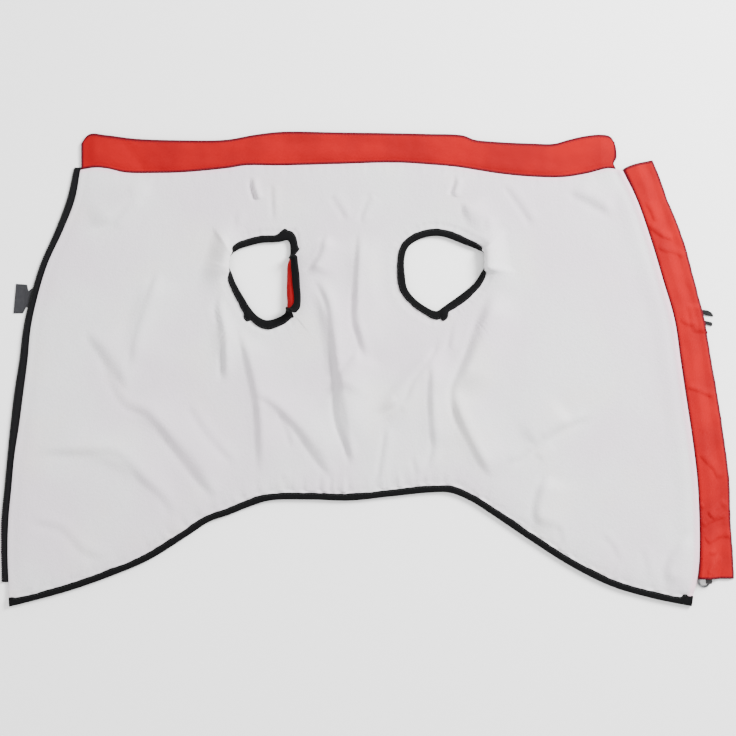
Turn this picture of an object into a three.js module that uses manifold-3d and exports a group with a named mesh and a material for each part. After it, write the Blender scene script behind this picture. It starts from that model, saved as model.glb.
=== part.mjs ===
// A dog's winter coat, unzipped and laid open on the floor with its fleece lining up.
// Millimetres. X runs across the coat, +Y towards the collar, Z up from the floor at 0.

import * as THREE from 'three';
import Module from 'manifold-3d';
import { mergeVertices } from 'three/addons/utils/BufferGeometryUtils.js';

const wasm = await Module();
wasm.setup();

// Turns rows of numbers into objects with named columns.
const table = (columns, rows) => rows.map((row) => (
  Object.fromEntries(columns.map((name, i) => [name, row[i]]))
));

// Cloth and trim
const GAP = 0.3;
const SHELL_WALL = 1;
const FLEECE_WALL = 2.2;
const FLEECE_SQUEEZED = 1.3;
const BINDING_WALL = 1;
const BINDING_WIDTH = 8;
const FLAP_WALL = 2;
const TAPE_WALL = 0.8;
const SEAM_ALLOWANCE = 8;
const BINDING_CORNER = 0.8;
const JOINT_SWELL = 0.8;

// Heights in the stack of layers where an edge is bound
const BOUND_SHELL = BINDING_WALL + 1.3 * GAP;
const LINING_LEVEL = BOUND_SHELL + SHELL_WALL + GAP;
const BOUND_TOP = LINING_LEVEL + FLEECE_SQUEEZED + 1.3 * GAP + BINDING_WALL;

// Seam between the collar band and the lining, from the left front to the right front
const NECK_SEAM = table(['x', 'y'], [
  [-316, 218], [-300, 220.5], [-287, 219.5], [-266, 215], [-236, 214.5], [-203, 215.3], [-153, 220],
  [-135, 222.8], [-96, 222.8], [-33, 224.4], [30, 226], [66, 224], [98, 221.2], [123, 217.3],
  [144, 214], [177, 210.7], [215, 210], [241, 214], [265, 219.5], [280.5, 216.8],
]);

// Folded top edge of the collar band
const COLLAR_TOP = table(['x', 'y'], [
  [-316, 244], [-305, 257.5], [-287, 256.5], [-254, 252.5], [-203, 250.8], [-155, 251.4], [-123, 256.9],
  [-93, 260.2], [-35, 259.5], [24, 258.7], [66, 257.8], [105, 256.2], [118, 251.5], [140, 249.2],
  [180, 247.3], [205, 247], [222, 251.5], [239, 255.3], [256, 257], [266, 255.5], [273, 249],
]);

// Outer edge of the hem binding, from the left front to the right front
const HEM = table(['x', 'y'], [
  [-392.7, -261.7], [-371, -256.3], [-327, -244.2], [-283, -228.8], [-239, -210.1], [-195, -182.6],
  [-173, -168.3], [-151, -160.6], [-129, -151.8], [-107, -145.2], [-63, -144.1], [-19, -145.2],
  [25, -140.8], [69, -136.4], [91, -136.6], [113, -145.2], [135, -159], [179, -188.7], [223, -216.7],
  [267, -238.7], [311, -251.9], [356.4, -261.3],
]);

// Left front: the lining's edge, and how much of the zip tape shows beside it
const LEFT_FRONT = table(['y', 'edge', 'tape'], [
  [-251.7, -394.6, 6], [-234.9, -394.9, 6], [-201.9, -396.1, 5.5], [-166.7, -395.2, 6.3], [-131.5, -391.9, 6.3],
  [-96.3, -388.6, 6.3], [-61.1, -383.1, 8.3], [-25.9, -378.7, 8.5], [9.4, -374.3, 7.4], [44.6, -371, 6.3],
  [79.8, -363.8, 5.5], [115, -353.4, 5], [150.2, -336.9, 6], [185.4, -322.6, 7], [218, -316, 6],
]);

// Right front: the lining's edge and the free edge of the zip guard that lies under it
const RIGHT_FRONT = table(['y', 'edge', 'guard'], [
  [-250.3, 357.9, 404], [-231.6, 362.1, 403.4], [-210.7, 364.4, 402.6], [-166.7, 364.4, 399.6],
  [-122.7, 362.2, 398.2], [-78.7, 357, 392.7], [-34.7, 350.4, 386.1], [9.4, 343.8, 378.4],
  [53.4, 337.2, 370.7], [97.4, 324.5, 359.7], [141.4, 311.3, 347.6], [185.4, 295.9, 330], [216.8, 280.5, 313.5],
]);

// Leg holes by turn about a centre, in degrees from +X: the open reach, and how far the bound edge has rolled,
// back over the lining (plus) or down out of sight (minus)
const LEFT_HOLE = {
  name: 'left',
  x: -115.5,
  y: 97.4,
  joint: 253,
  rows: table(['turn', 'reach', 'roll'], [
    [0, 26, 150], [14, 27.2, 140], [26, 29.4, 108], [36, 33, 72], [46, 39.5, 32], [60, 47.2, 0], [73, 42.5, 0],
    [90, 40, 0], [108, 39.5, 0], [122, 40.8, -22], [134, 42.4, -50], [144, 42.5, -70], [156, 38.5, -75],
    [168, 32.8, -62], [180, 29.6, -40], [192, 27.6, -20], [206, 26.6, -5], [226, 27.8, 0], [246, 32.6, 0],
    [262, 39, 0], [276, 43.8, 0], [296, 43.2, 0], [308, 39.4, 35], [318, 34.8, 80], [328, 31, 120],
    [342, 27.4, 145],
  ]),
};
const RIGHT_HOLE = {
  name: 'right',
  x: 78.1,
  y: 102.8,
  joint: 279,
  rows: table(['turn', 'reach', 'roll'], [
    [0, 43.5, -46], [12, 48.8, -70], [24, 52, -70], [37, 47.6, -44], [50, 43.2, -18], [64, 41.4, 0],
    [80, 41.4, 0], [98, 42.8, 0], [120, 44.2, 0], [138, 44.6, 0], [156, 40.6, 0], [180, 36.4, 0],
    [204, 36.9, 0], [228, 36.4, 0], [252, 37.6, 0], [264, 38.5, 0], [277, 36, 0], [290, 30.8, 0],
    [312, 30.8, 0], [330, 34, 0], [346, 38.6, -15],
  ]),
};

// Largest folds of the lining, along the crease where each one is steepest. bow is the crease's sideways bulge,
// rise the height of its crest and spread how far the far side runs out.
const FOLDS = table(['x1', 'y1', 'x2', 'y2', 'bow', 'rise', 'spread'], [
  [-142, 178, -160, -14, -12, 6, 16],
  [-146, 47, -121, -118, 8, 5, 20],
  [-124, -30, -38, -120, 8, 5, 20],
  [-50, 148, -65, 106, 0, 4, 14],
  [-61, 101, -21, -106, 5, 8, 24],
  [-11, 150, -3, 4, -9, 5, 22],
  [-10, 22, -34, -20, 0, 4, 18],
  [102, 180, 129, 140, -3, 4, 16],
  [134, 93, 91, -25, 6, 7, 24],
  [91, -25, 135, -123, -8, 5, 24],
  [78, 27, 9, -51, -6, 5, 20],
  [68, 6, 70, -90, -3, 4, 18],
  [-268, -40, -166, -144, 10, 5, 24],
  [-367, -96, -216, -160, 26, 4, 26],
  [-309, 35, -265, -24, 6, 4, 22],
  [-234, 105, -262, 3, -8, 4, 24],
  [-229, 204, -301, 152, -8, 4, 22],
  [230, -58, 180, -93, 6, 4, 22],
  [194, -117, 184, -176, -4, 4, 22],
  [352, -180, 326, -238, -6, 3, 18],
  [222, 190, 267, 167, 4, 3, 18],
]);
const CREST_OFFSET = 8;
const STEEP_SPREAD = 8;
const LOFT = 0.4;
const LIGHT_SIDE = { x: 0.8, y: 0.6 };

// Grid of the lining
const COLUMNS = 40;
const ROWS = 22;
const EDGE_COLUMN = 0.015;
const EDGE_ROW = 0.02;
const BOUND_ROW = 9.5;
const SHELL_FOOT = 18;
const SHELL_INSET = 2;

// Reach over which the lining leaves its level beside a seam
const EASE = 22;

// Bound edge of a leg hole: a stretch that can roll, then the stretch inside the binding
const BEND = 9;
const EDGE_OUTER = BEND + BINDING_WIDTH;
const CLOTH_END = EDGE_OUTER - BINDING_WALL - 1.5 * GAP;
const NEUTRAL = 2.5;
const BEND_STEPS = [0, BEND / 3, (BEND * 2) / 3, BEND];
const FOOT = 24;
const WINDOW = { across: 74, along: 92, middle: 0.72 };
const MAX_ROLL = { down: -95, back: 160 };

// Collar band: how far its top layer swells, and how flat its fold and its two ends are
const COLLAR = { swell: 0.8, fold: 2, drop: 0.2, middle: 0.45, endGap: GAP + 0.4 };

// Zip, its slider and the ring that pulls it
const COIL = { width: 2.6, height: 1.8, corner: 0.6, slope: 0.2, foot: 1.8 };
const TAPE_LEVEL = SHELL_WALL + GAP;
const GUARD_LEVEL = TAPE_LEVEL + TAPE_WALL + GAP;
const RIGHT_TAPE = 8;
const ZIP_END = -234.9;
const ZIP_TOP = 217.3;
const GUARD_END = -231;
const RIGHT_ZIP_END = GUARD_END + 1.5;
const RIGHT_ZIP_TOP = ZIP_TOP - 3;
const ZIP_STEPS = 24;
const RING = { outer: 14, wire: 1.9, lean: 10, fromMiddle: 2, overFloor: 0.05 };
const SLIDER = { x: 371.5, y: -226, length: 10, width: 8.6, plate: 0.8, channel: 2.4, bar: 0.7, sink: 0.2 };
const WEDGE = { width: 1.6, length: 3.4, aside: 1.3, ahead: 2.6 };
const BRIDGE = { width: 1.8, length: 8.4, post: 1.2, room: RING.wire + 2 * GAP };
const RETAINER = { x: 375, y: -233.7, width: 6.8, length: 4.8, height: 3, corner: 1 };

// Half of the slider's plate, in shares of its half width and half length, from its lower end to its upper one
const PLATE_HALF = table(['across', 'along'], [[0.66, -1], [1, -0.1], [1, 0.6], [0.55, 1]]);

// Zip guard: columns from under the lining's edge to the free edge, by reach from either, with the share of the
// seam's level and of the ridge over the coil that each one has
const GUARD_COLUMNS = table(['beyond', 'fromEdge', 'seam', 'high'], [
  [-SEAM_ALLOWANCE, null, 1, 0], [0.3, null, 1, 0], [3.5, null, 0, 1], [13.6, null, 0, 1], [20, null, 0, 0.35],
  [27, null, 0, 0.05], [null, 1.5, 0, 0], [null, 0, 0, 0],
]);
const GUARD_TOP = 216.8;
const GUARD_SLANT = { rise: 12, start: 180, run: 36 };
const GUARD_OVER_TABS = { bottom: 38, top: 72, run: 6, share: 0.45, shareRun: 0.2 };
const GUARD_EASE = { before: 18, run: 8 };
const GUARD_LIP = 0.7;

// How the right zip and the guard come up to the slider
const SLIDER_EASE = { ahead: 6, coil: 34, guard: 40 };

// Levels at the slider's channel, the hinge of its ring, and the guard's top beside the seam
const CHANNEL_MIDDLE = SLIDER.bar + BRIDGE.room + SLIDER.plate + SLIDER.channel / 2;
const SLIDER_RISE = CHANNEL_MIDDLE - TAPE_LEVEL - COIL.height / 2;
const PIVOT = { x: SLIDER.x, y: SLIDER.y - RING.fromMiddle, z: SLIDER.bar + GAP + RING.wire / 2 };
const GUARD_RISE = GUARD_LEVEL + FLAP_WALL + GAP - LINING_LEVEL;

// Webbing ends at chest height on each front
const SIDE_TAB = {
  wall: 1, top: 93.2, bottom: 60.5, neckTop: 85.3, neckBottom: 68, depth: 17, neck: 0.86, flare: 4.5, lean: 3,
  sole: 9,
};
const TAB_END = { width: 5, wall: 1.6, under: 12, taper: 0.7 };
const TAB_ENDS = table(['name', 'y', 'show', 'droop'], [
  ['tab_end_upper', 60.5, 11.5, -3.5],
  ['tab_end_lower', 49.5, 8, -2],
]);

// Middle of the whole coat's box, which the part's own origin lies under
const CENTRE = { x: 0.8, y: -0.8 };

// Colours
const RED = 0xd93a3c;
const FLEECE = 0xe6e4e6;
const BLACK = 0x1b1b1e;
const GREY = 0x4b4b4f;
const STEEL = 0x9a9a9c;

const DEGREE = Math.PI / 180;
const clamp = (value) => Math.min(1, Math.max(0, value));
const mix = (a, b, share) => a + (b - a) * share;
const smooth = (value) => clamp(value) ** 2 * (3 - 2 * clamp(value));
const add = (point, dx, dy) => ({ x: point.x + dx, y: point.y + dy });
const distance = (a, b) => Math.hypot(a.x - b.x, a.y - b.y);

// A smooth line through rows with x and y, read by its share of the length from 0 to 1.
function line(rows) {
  const places = rows.map(({ x, y }) => new THREE.Vector3(x, y, 0));
  const curve = new THREE.CatmullRomCurve3(places, false, 'centripetal');
  curve.arcLengthDivisions = 1000;
  return (share) => {
    const point = curve.getPointAt(clamp(share));
    return { x: point.x, y: point.y };
  };
}

// The value of a column at a height y, smooth between rows.
function columnAt(rows, name) {
  return (y) => {
    const last = rows.length - 2;
    const found = rows.findIndex((row, i) => i <= last && y <= rows[i + 1].y);
    const i = found < 0 ? last : found;
    const below = rows[Math.max(0, i - 1)];
    const above = rows[Math.min(last + 1, i + 2)];
    const [a, b] = [rows[i], rows[i + 1]];
    const share = (y - a.y) / (b.y - a.y);
    const run = b.y - a.y;
    const slopeA = ((b[name] - below[name]) / (b.y - below.y)) * run;
    const slopeB = ((above[name] - a[name]) / (above.y - a.y)) * run;
    const s2 = share * share;
    const s3 = s2 * share;
    return (2 * s3 - 3 * s2 + 1) * a[name] + (s3 - 2 * s2 + share) * slopeA
      + (3 * s2 - 2 * s3) * b[name] + (s3 - s2) * slopeB;
  };
}

// Builds a closed mesh from vertices and triangles, turned so that its faces point out.
function solid(name, points, faces, colour, roughness = 0.9, metalness = 0) {
  const volume = faces.reduce((sum, corners) => {
    const [p, q, r] = corners.map((k) => new THREE.Vector3(...points[k]));
    return sum + p.dot(q.cross(r));
  }, 0);
  const outward = volume > 0 ? faces : faces.map(([a, b, c]) => [a, c, b]);
  const geometry = new THREE.BufferGeometry();
  geometry.setAttribute('position', new THREE.Float32BufferAttribute(points.flat(), 3));
  geometry.setIndex(outward.flat());
  geometry.computeVertexNormals();
  return named(name, geometry, colour, roughness, metalness);
}

function named(name, geometry, colour, roughness = 0.9, metalness = 0) {
  const material = new THREE.MeshStandardMaterial({ color: colour, roughness, metalness });
  const mesh = new THREE.Mesh(geometry, material);
  mesh.name = name;
  return mesh;
}

// A cloth wall from stations that each have a top and a bottom point, and triangles seen from above.
// Its free edges close by themselves: each edge with one triangle gets a strip.
function clothWall(name, stations, faces, colour) {
  const count = stations.length;
  const points = [...stations.map((s) => s.top), ...stations.map((s) => s.bottom)];
  const all = [];
  const open = new Map();
  for (const [a, b, c] of faces) {
    all.push([a, b, c], [a + count, c + count, b + count]);
    for (const [p, q] of [[a, b], [b, c], [c, a]]) {
      if (!open.delete(`${q},${p}`)) open.set(`${p},${q}`, [p, q]);
    }
  }
  for (const [p, q] of open.values()) {
    all.push([q, p, p + count], [q, p + count, q + count]);
  }
  return solid(name, points, all, colour);
}

// A closed section carried through stations: sections holds one list of [x, y, z] for each station. Each face's
// diagonal runs forward along the flat section, as it does in the cloth inside a binding.
// An open sweep is capped with triangles worked out on the flat section.
function sweep(name, sections, flat, closed, colour, roughness) {
  const sides = flat.length;
  const faces = [];
  const joins = closed ? sections.length : sections.length - 1;
  for (let i = 0; i < joins; i += 1) {
    const here = i * sides;
    const next = ((i + 1) % sections.length) * sides;
    for (let k = 0; k < sides; k += 1) {
      const k2 = (k + 1) % sides;
      const ahead = flat[k2][0] >= flat[k][0];
      if (ahead) faces.push([here + k, here + k2, next + k2], [here + k, next + k2, next + k]);
      else faces.push([here + k, here + k2, next + k], [here + k2, next + k2, next + k]);
    }
  }
  if (!closed) {
    const contour = flat.map(([a, b]) => new THREE.Vector2(a, b));
    const turned = THREE.ShapeUtils.area(contour) < 0;
    const caps = THREE.ShapeUtils.triangulateShape(contour, [])
      .map(([a, b, c]) => (turned ? [a, c, b] : [a, b, c]));
    const end = (sections.length - 1) * sides;
    for (const [a, b, c] of caps) {
      faces.push(turned ? [a, b, c] : [a, c, b]);
      faces.push(turned ? [end + a, end + c, end + b] : [end + a, end + b, end + c]);
    }
  }
  return solid(name, sections.flat(), faces, colour, roughness);
}

// Lines of the pattern
const neck = line(NECK_SEAM);
const collarTop = line(COLLAR_TOP);
const hem = line(HEM);
const leftEdge = columnAt(LEFT_FRONT, 'edge');
const leftTape = columnAt(LEFT_FRONT, 'tape');
const rightEdge = columnAt(RIGHT_FRONT, 'edge');
const guardEdge = columnAt(RIGHT_FRONT, 'guard');
const left = line(LEFT_FRONT.map(({ edge, y }) => ({ x: edge, y })));
const right = line(RIGHT_FRONT.map(({ edge, y }) => ({ x: edge, y })));

// Shares across and along the lining, closer beside its edges
const spread = (count, edge) => [
  0,
  ...Array.from({ length: count - 1 }, (_, i) => mix(edge, 1 - edge, i / (count - 2))),
  1,
];
const ACROSS = spread(COLUMNS, EDGE_COLUMN);
const ALONG = spread(ROWS, EDGE_ROW);
const neckPoints = ACROSS.map(neck);
const hemPoints = ACROSS.map(hem);

// Inward direction of the hem at each column; the end ones run along the fronts.
const inward = hemPoints.map((point, i) => {
  if (i === 0) return { x: (left(0).x - point.x) / BOUND_ROW, y: (left(0).y - point.y) / BOUND_ROW };
  if (i === COLUMNS) return { x: (right(0).x - point.x) / BOUND_ROW, y: (right(0).y - point.y) / BOUND_ROW };
  const [a, b] = [hemPoints[i - 1], hemPoints[i + 1]];
  const length = distance(a, b);
  return { x: -(b.y - a.y) / length, y: (b.x - a.x) / length };
});
const fromHem = (i, reach) => add(hemPoints[i], inward[i].x * reach, inward[i].y * reach);
const boundPoints = ACROSS.map((_, i) => fromHem(i, BOUND_ROW));

// Place of the grid point in column i and row j: opposite sides blended, less the blend of the corners.
function place(i, j) {
  const [u, v] = [ACROSS[i], ALONG[j]];
  const [l, r] = [left(v), right(v)];
  const [b, t] = [boundPoints[i], neckPoints[i]];
  const corner = (axis) => (1 - u) * (1 - v) * boundPoints[0][axis] + u * (1 - v) * boundPoints[COLUMNS][axis]
    + (1 - u) * v * neckPoints[0][axis] + u * v * neckPoints[COLUMNS][axis];
  const blend = (axis) => (1 - v) * b[axis] + v * t[axis] + (1 - u) * l[axis] + u * r[axis] - corner(axis);
  return { x: blend('x'), y: blend('y') };
}

// Height of the lining's folds at a point. Across its crease a fold rises steeply on one side of the crest
// and runs out slowly on the other; along it, it fades in and out.
function foldHeight(x, y) {
  let height = 0;
  for (const fold of FOLDS) {
    const [dx, dy] = [fold.x2 - fold.x1, fold.y2 - fold.y1];
    const length = Math.hypot(dx, dy);
    const share = ((x - fold.x1) * dx + (y - fold.y1) * dy) / length ** 2;
    if (share <= 0 || share >= 1) continue;
    const side = Math.sign(-dy * LIGHT_SIDE.x + dx * LIGHT_SIDE.y);
    const bulge = fold.bow * 4 * share * (1 - share);
    const off = (side * (-(x - fold.x1) * dy + (y - fold.y1) * dx)) / length - bulge - CREST_OFFSET;
    const width = off < 0 ? STEEP_SPREAD : fold.spread;
    const fade = smooth(share / 0.25) * smooth((1 - share) / 0.25);
    height += fold.rise * fade * Math.exp(-((off / width) ** 2));
  }
  return height;
}

// Underside of the lining at a grid point. It keeps one level along its seams and rises over the zip guard.
function liningLevel(point, i, j) {
  const v = ALONG[j];
  const free = [
    distance(point, left(v)),
    distance(point, right(v)),
    distance(point, neckPoints[i]),
    distance(point, boundPoints[i]),
  ];
  const share = free.reduce((product, d) => product * smooth(d / EASE), 1);
  const overGuard = smooth((point.y - GUARD_END + GUARD_EASE.before) / GUARD_EASE.run)
    * (1 - smooth((free[1] - SEAM_ALLOWANCE) / EASE));
  return LINING_LEVEL + share * (LOFT + foldHeight(point.x, point.y)) + GUARD_RISE * overGuard;
}

// Place in a leg hole's bound edge. along runs from where it may start to roll, towards the hole's middle,
// up is the height in the flat stack, and roll is in degrees. The stretch BEND long lies on an arc.
function rolled(along, up, roll) {
  if (Math.abs(roll) < 0.5) return { toHole: along, z: up };
  const angle = roll * DEGREE;
  const radius = BEND / angle;
  const turned = angle * clamp(along / BEND);
  const straight = Math.max(0, along - BEND);
  const ahead = Math.min(0, along);
  const arm = radius - (up - NEUTRAL);
  return {
    toHole: ahead + arm * Math.sin(turned) + straight * Math.cos(angle),
    z: NEUTRAL + radius - arm * Math.cos(turned) + straight * Math.sin(angle),
  };
}

// Section of a binding: two legs and the fold between them, open on the cloth's side.
function bindingSection(outer, extra) {
  const [legStart, inner, corner] = [outer - BINDING_WIDTH, outer - BINDING_WALL, outer - BINDING_CORNER];
  const [floor, ceiling, top] = [BINDING_WALL, BOUND_TOP - BINDING_WALL, BOUND_TOP + extra];
  return [
    [legStart - extra, 0], [corner, 0], [outer, BINDING_WALL], [outer, top - BINDING_WALL], [corner, top],
    [legStart - extra, top],
    [legStart - extra, ceiling], [inner, ceiling], [inner, floor], [legStart - extra, floor],
  ];
}

// Reach, roll, start and lift of a leg hole's edge in one direction.
function rimAt(hole) {
  const points = hole.rows.map(({ turn, reach, roll }) => new THREE.Vector3(
    reach * Math.cos(turn * DEGREE),
    reach * Math.sin(turn * DEGREE),
    roll,
  ));
  const samples = new THREE.CatmullRomCurve3(points, true, 'centripetal').getPoints(1440);
  return (turn) => {
    const off = (p) => 1 - Math.cos(Math.atan2(p.y, p.x) - turn);
    const nearest = samples.reduce((best, p) => (off(p) < off(best) ? p : best));
    const roll = THREE.MathUtils.clamp(nearest.z, MAX_ROLL.down, MAX_ROLL.back);
    const bend = BEND_STEPS.flatMap((along) => [[along, 0], [along, SHELL_WALL]]);
    const outline = [...bindingSection(EDGE_OUTER, 0), ...bend].map(([along, up]) => rolled(along, up, roll));
    const reach = Math.hypot(nearest.x, nearest.y);
    return {
      turn,
      roll,
      start: reach + Math.max(...outline.map((p) => p.toHole)),
      lift: Math.max(0, -Math.min(...outline.map((p) => p.z))),
    };
  };
}

// Window in the grid round a leg hole: the loop of grid points that its rings start from.
function windowOf(hole) {
  const middle = Math.round(ROWS * WINDOW.middle);
  const columns = ACROSS.map((_, i) => i);
  const i0 = columns.filter((i) => place(i, middle).x < hole.x - WINDOW.across).pop();
  const i1 = columns.find((i) => place(i, middle).x > hole.x + WINDOW.across);
  const centre = Math.round((i0 + i1) / 2);
  const rows = ALONG.map((_, j) => j);
  const j0 = rows.filter((j) => place(centre, j).y < hole.y - WINDOW.along).pop();
  const j1 = rows.find((j) => place(centre, j).y > hole.y + WINDOW.along);
  const loop = [];
  for (let i = i0; i < i1; i += 1) loop.push([i, j0]);
  for (let j = j0; j < j1; j += 1) loop.push([i1, j]);
  for (let i = i1; i > i0; i -= 1) loop.push([i, j1]);
  for (let j = j1; j > j0; j -= 1) loop.push([i0, j]);
  const rim = rimAt(hole);
  const rays = loop.map(([i, j]) => {
    const p = place(i, j);
    return { i, j, ...rim(Math.atan2(p.y - hole.y, p.x - hole.x)) };
  });
  return { hole, i0, i1, j0, j1, rays };
}
const windows = [LEFT_HOLE, RIGHT_HOLE].map(windowOf);

// Point of a leg hole's edge on one ray, at a distance along its stack and a height in it.
function rimPoint(hole, ray, along, up, extraLift = 0) {
  const at = rolled(along, up, ray.roll);
  const reach = ray.start - at.toHole;
  return [hole.x + reach * Math.cos(ray.turn), hole.y + reach * Math.sin(ray.turn), at.z + extraLift];
}

// Rings from the outside in: where the lift has run out, half way, through the roll, in the binding.
const RINGS = [-FOOT, -FOOT / 2, ...BEND_STEPS, CLOTH_END];
const liftAt = (ray, along) => ray.lift * (1 - smooth(-along / FOOT));

function liningStation(hole, ray, along) {
  const outside = smooth(-along / FOOT);
  const [x, y] = rimPoint(hole, ray, along, 0);
  const raised = outside * (LOFT + foldHeight(x, y));
  const wall = mix(FLEECE_WALL, FLEECE_SQUEEZED, smooth((along * 2) / BEND));
  const lift = liftAt(ray, along) + raised;
  return {
    top: rimPoint(hole, ray, along, LINING_LEVEL + wall, lift),
    bottom: rimPoint(hole, ray, along, LINING_LEVEL, lift),
  };
}

function shellStation(hole, ray, along) {
  const up = BOUND_SHELL * smooth(along / BEND);
  const lift = liftAt(ray, along);
  return {
    top: rimPoint(hole, ray, along, up + SHELL_WALL, lift),
    bottom: rimPoint(hole, ray, along, up, lift),
  };
}

// Adds two triangles for the four stations of a cell, given in order round it, counter-clockwise.
const cell = (faces, a, b, c, d) => faces.push([a, b, c], [a, c, d]);

function ringFaces(faces, rings) {
  for (let r = 0; r < rings.length - 1; r += 1) {
    const [outer, inner] = [rings[r], rings[r + 1]];
    for (let k = 0; k < outer.length; k += 1) {
      const next = (k + 1) % outer.length;
      cell(faces, outer[k], outer[next], inner[next], inner[k]);
    }
  }
}

// Fleece lining: a grid from the hem to the collar seam, with rings round each leg hole.
function lining() {
  const stations = [];
  const faces = [];
  const index = new Map();
  const hidden = (i, j) => windows.some((w) => i > w.i0 && i < w.i1 && j > w.j0 && j < w.j1);
  const station = (x, y, z, wall) => stations.push({ top: [x, y, z + wall], bottom: [x, y, z] }) - 1;

  for (let i = 0; i <= COLUMNS; i += 1) {
    const edge = fromHem(i, BINDING_WALL + GAP);
    index.set(`${i},-1`, station(edge.x, edge.y, LINING_LEVEL, FLEECE_SQUEEZED));
    for (let j = 0; j <= ROWS; j += 1) {
      if (hidden(i, j)) continue;
      const point = place(i, j);
      const level = liningLevel(point, i, j);
      const side = i === 0 || i === COLUMNS || j === ROWS;
      const wall = j === 0 || side ? FLEECE_SQUEEZED : FLEECE_WALL;
      index.set(`${i},${j}`, station(point.x, point.y - (j === ROWS ? GAP / 2 : 0), level, wall));
    }
  }
  for (let i = 0; i < COLUMNS; i += 1) {
    for (let j = -1; j < ROWS; j += 1) {
      if (windows.some((w) => i >= w.i0 && i < w.i1 && j >= w.j0 && j < w.j1)) continue;
      const at = (di, dj) => index.get(`${i + di},${j + dj}`);
      cell(faces, at(0, 0), at(1, 0), at(1, 1), at(0, 1));
    }
  }
  for (const { hole, rays } of windows) {
    const rings = [rays.map((ray) => index.get(`${ray.i},${ray.j}`))];
    for (const along of RINGS) {
      rings.push(rays.map((ray) => stations.push(liningStation(hole, ray, along)) - 1));
    }
    ringFaces(faces, rings);
  }
  return clothWall('lining_body', stations, faces, FLEECE);
}

// Red outer shell: flat on the floor, raised only where a binding wraps its edge.
function shell() {
  const stations = [];
  const faces = [];
  const station = (point, z) => stations.push({
    top: [point.x, point.y, z + SHELL_WALL],
    bottom: [point.x, point.y, z],
  }) - 1;
  const inset = (i) => (i === 0 ? SHELL_INSET : i === COLUMNS ? -SHELL_INSET : 0);
  const hemPoint = (i, reach) => {
    const point = fromHem(i, reach);
    if (inset(i) === 0) return point;
    const next = fromHem(i + Math.sign(inset(i)), reach);
    const share = SHELL_INSET / distance(point, next);
    return { x: mix(point.x, next.x, share), y: mix(point.y, next.y, share) };
  };
  const hemRow = (reach, z) => ACROSS.map((_, i) => station(hemPoint(i, reach), z));
  const hemRows = [
    hemRow(BINDING_WALL + GAP, BOUND_SHELL),
    hemRow(BOUND_ROW, BOUND_SHELL),
    hemRow(SHELL_FOOT, 0),
  ];
  for (let r = 0; r < 2; r += 1) {
    for (let i = 0; i < COLUMNS; i += 1) {
      cell(faces, hemRows[r][i], hemRows[r][i + 1], hemRows[r + 1][i + 1], hemRows[r + 1][i]);
    }
  }
  const top = neckPoints.map((p, i) => station(add(p, inset(i), -GAP / 2), 0)).reverse();
  const sides = ALONG.filter((v) => v > EDGE_ROW * 2 && v < 1);
  const rightSide = sides.map((v) => station(add(right(v), -SHELL_INSET, 0), 0));
  const leftSide = sides.map((v) => station(add(left(v), SHELL_INSET, 0), 0)).reverse();
  const outer = [...hemRows[2], ...rightSide, ...top, ...leftSide];
  const feet = windows.map(({ hole, rays }) => {
    const rings = RINGS.map((along) => rays.map((ray) => stations.push(shellStation(hole, ray, along)) - 1));
    ringFaces(faces, rings);
    return rings[0];
  });
  const flat = (list) => list.map((k) => new THREE.Vector2(stations[k].top[0], stations[k].top[1]));
  const order = [...outer, ...feet.flat()];
  for (const triangle of THREE.ShapeUtils.triangulateShape(flat(outer), feet.map(flat))) {
    faces.push(upwards(stations, triangle.map((k) => order[k])));
  }
  return clothWall('shell_body', stations, faces, RED);
}

// A triangle turned so that it runs counter-clockwise seen from above.
function upwards(stations, [a, b, c]) {
  const [p, q, r] = [a, b, c].map((k) => stations[k].top);
  const area = (q[0] - p[0]) * (r[1] - p[1]) - (q[1] - p[1]) * (r[0] - p[0]);
  return area > 0 ? [a, b, c] : [a, c, b];
}

// Collar band: one strip folded along its top edge, its two lower edges meeting the shell and the lining.
function collar() {
  const topAt = (x) => {
    const after = COLLAR_TOP.findIndex((row, i) => i > 0 && x <= row.x);
    const k = Math.max(0, Math.min(COLLAR_TOP.length - 2, after - 1));
    const [a, b] = [COLLAR_TOP[k], COLLAR_TOP[k + 1]];
    return mix(a.y, b.y, clamp((x - a.x) / (b.x - a.x)));
  };
  const wall = SHELL_WALL;
  const seamTop = LINING_LEVEL + FLEECE_SQUEEZED;
  const rowsAt = (i) => {
    const seam = neckPoints[i];
    const depth = topAt(seam.x) - seam.y - GAP / 2;
    const end = i === 0 || i === COLUMNS - 1 ? 1 : 0;
    const high = mix(seamTop + COLLAR.swell, wall * 2 + COLLAR.endGap, end);
    const low = mix(seamTop, wall * 2 + GAP, end);
    const [fold, inside] = [depth - COLLAR.fold, depth - COLLAR.fold * 1.3];
    const foldTop = high - COLLAR.drop;
    return [
      [0, 0], [fold, 0], [depth, high * COLLAR.middle], [fold, foldTop], [depth / 2, high], [0, low],
      [0, low - wall], [depth / 2, high - wall], [inside, foldTop - wall],
      [depth - COLLAR.fold * 0.7, high * COLLAR.middle], [inside, wall], [0, wall],
    ];
  };
  const sections = neckPoints.slice(0, COLUMNS).map((seam, i) => (
    rowsAt(i).map(([reach, z]) => [seam.x, seam.y + GAP / 2 + reach, z])
  ));
  return sweep('collar_band', sections, rowsAt(0), false, RED, 0.85);
}

// Black binding round the hem's two cloths.
function hemBinding() {
  const flat = bindingSection(BINDING_WIDTH, 0);
  const sections = ACROSS.map((_, i) => flat.map(([along, up]) => {
    const point = fromHem(i, BINDING_WIDTH - along);
    return [point.x, point.y, up];
  }));
  return sweep('hem_binding', sections, flat, false, BLACK, 0.8);
}

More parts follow.
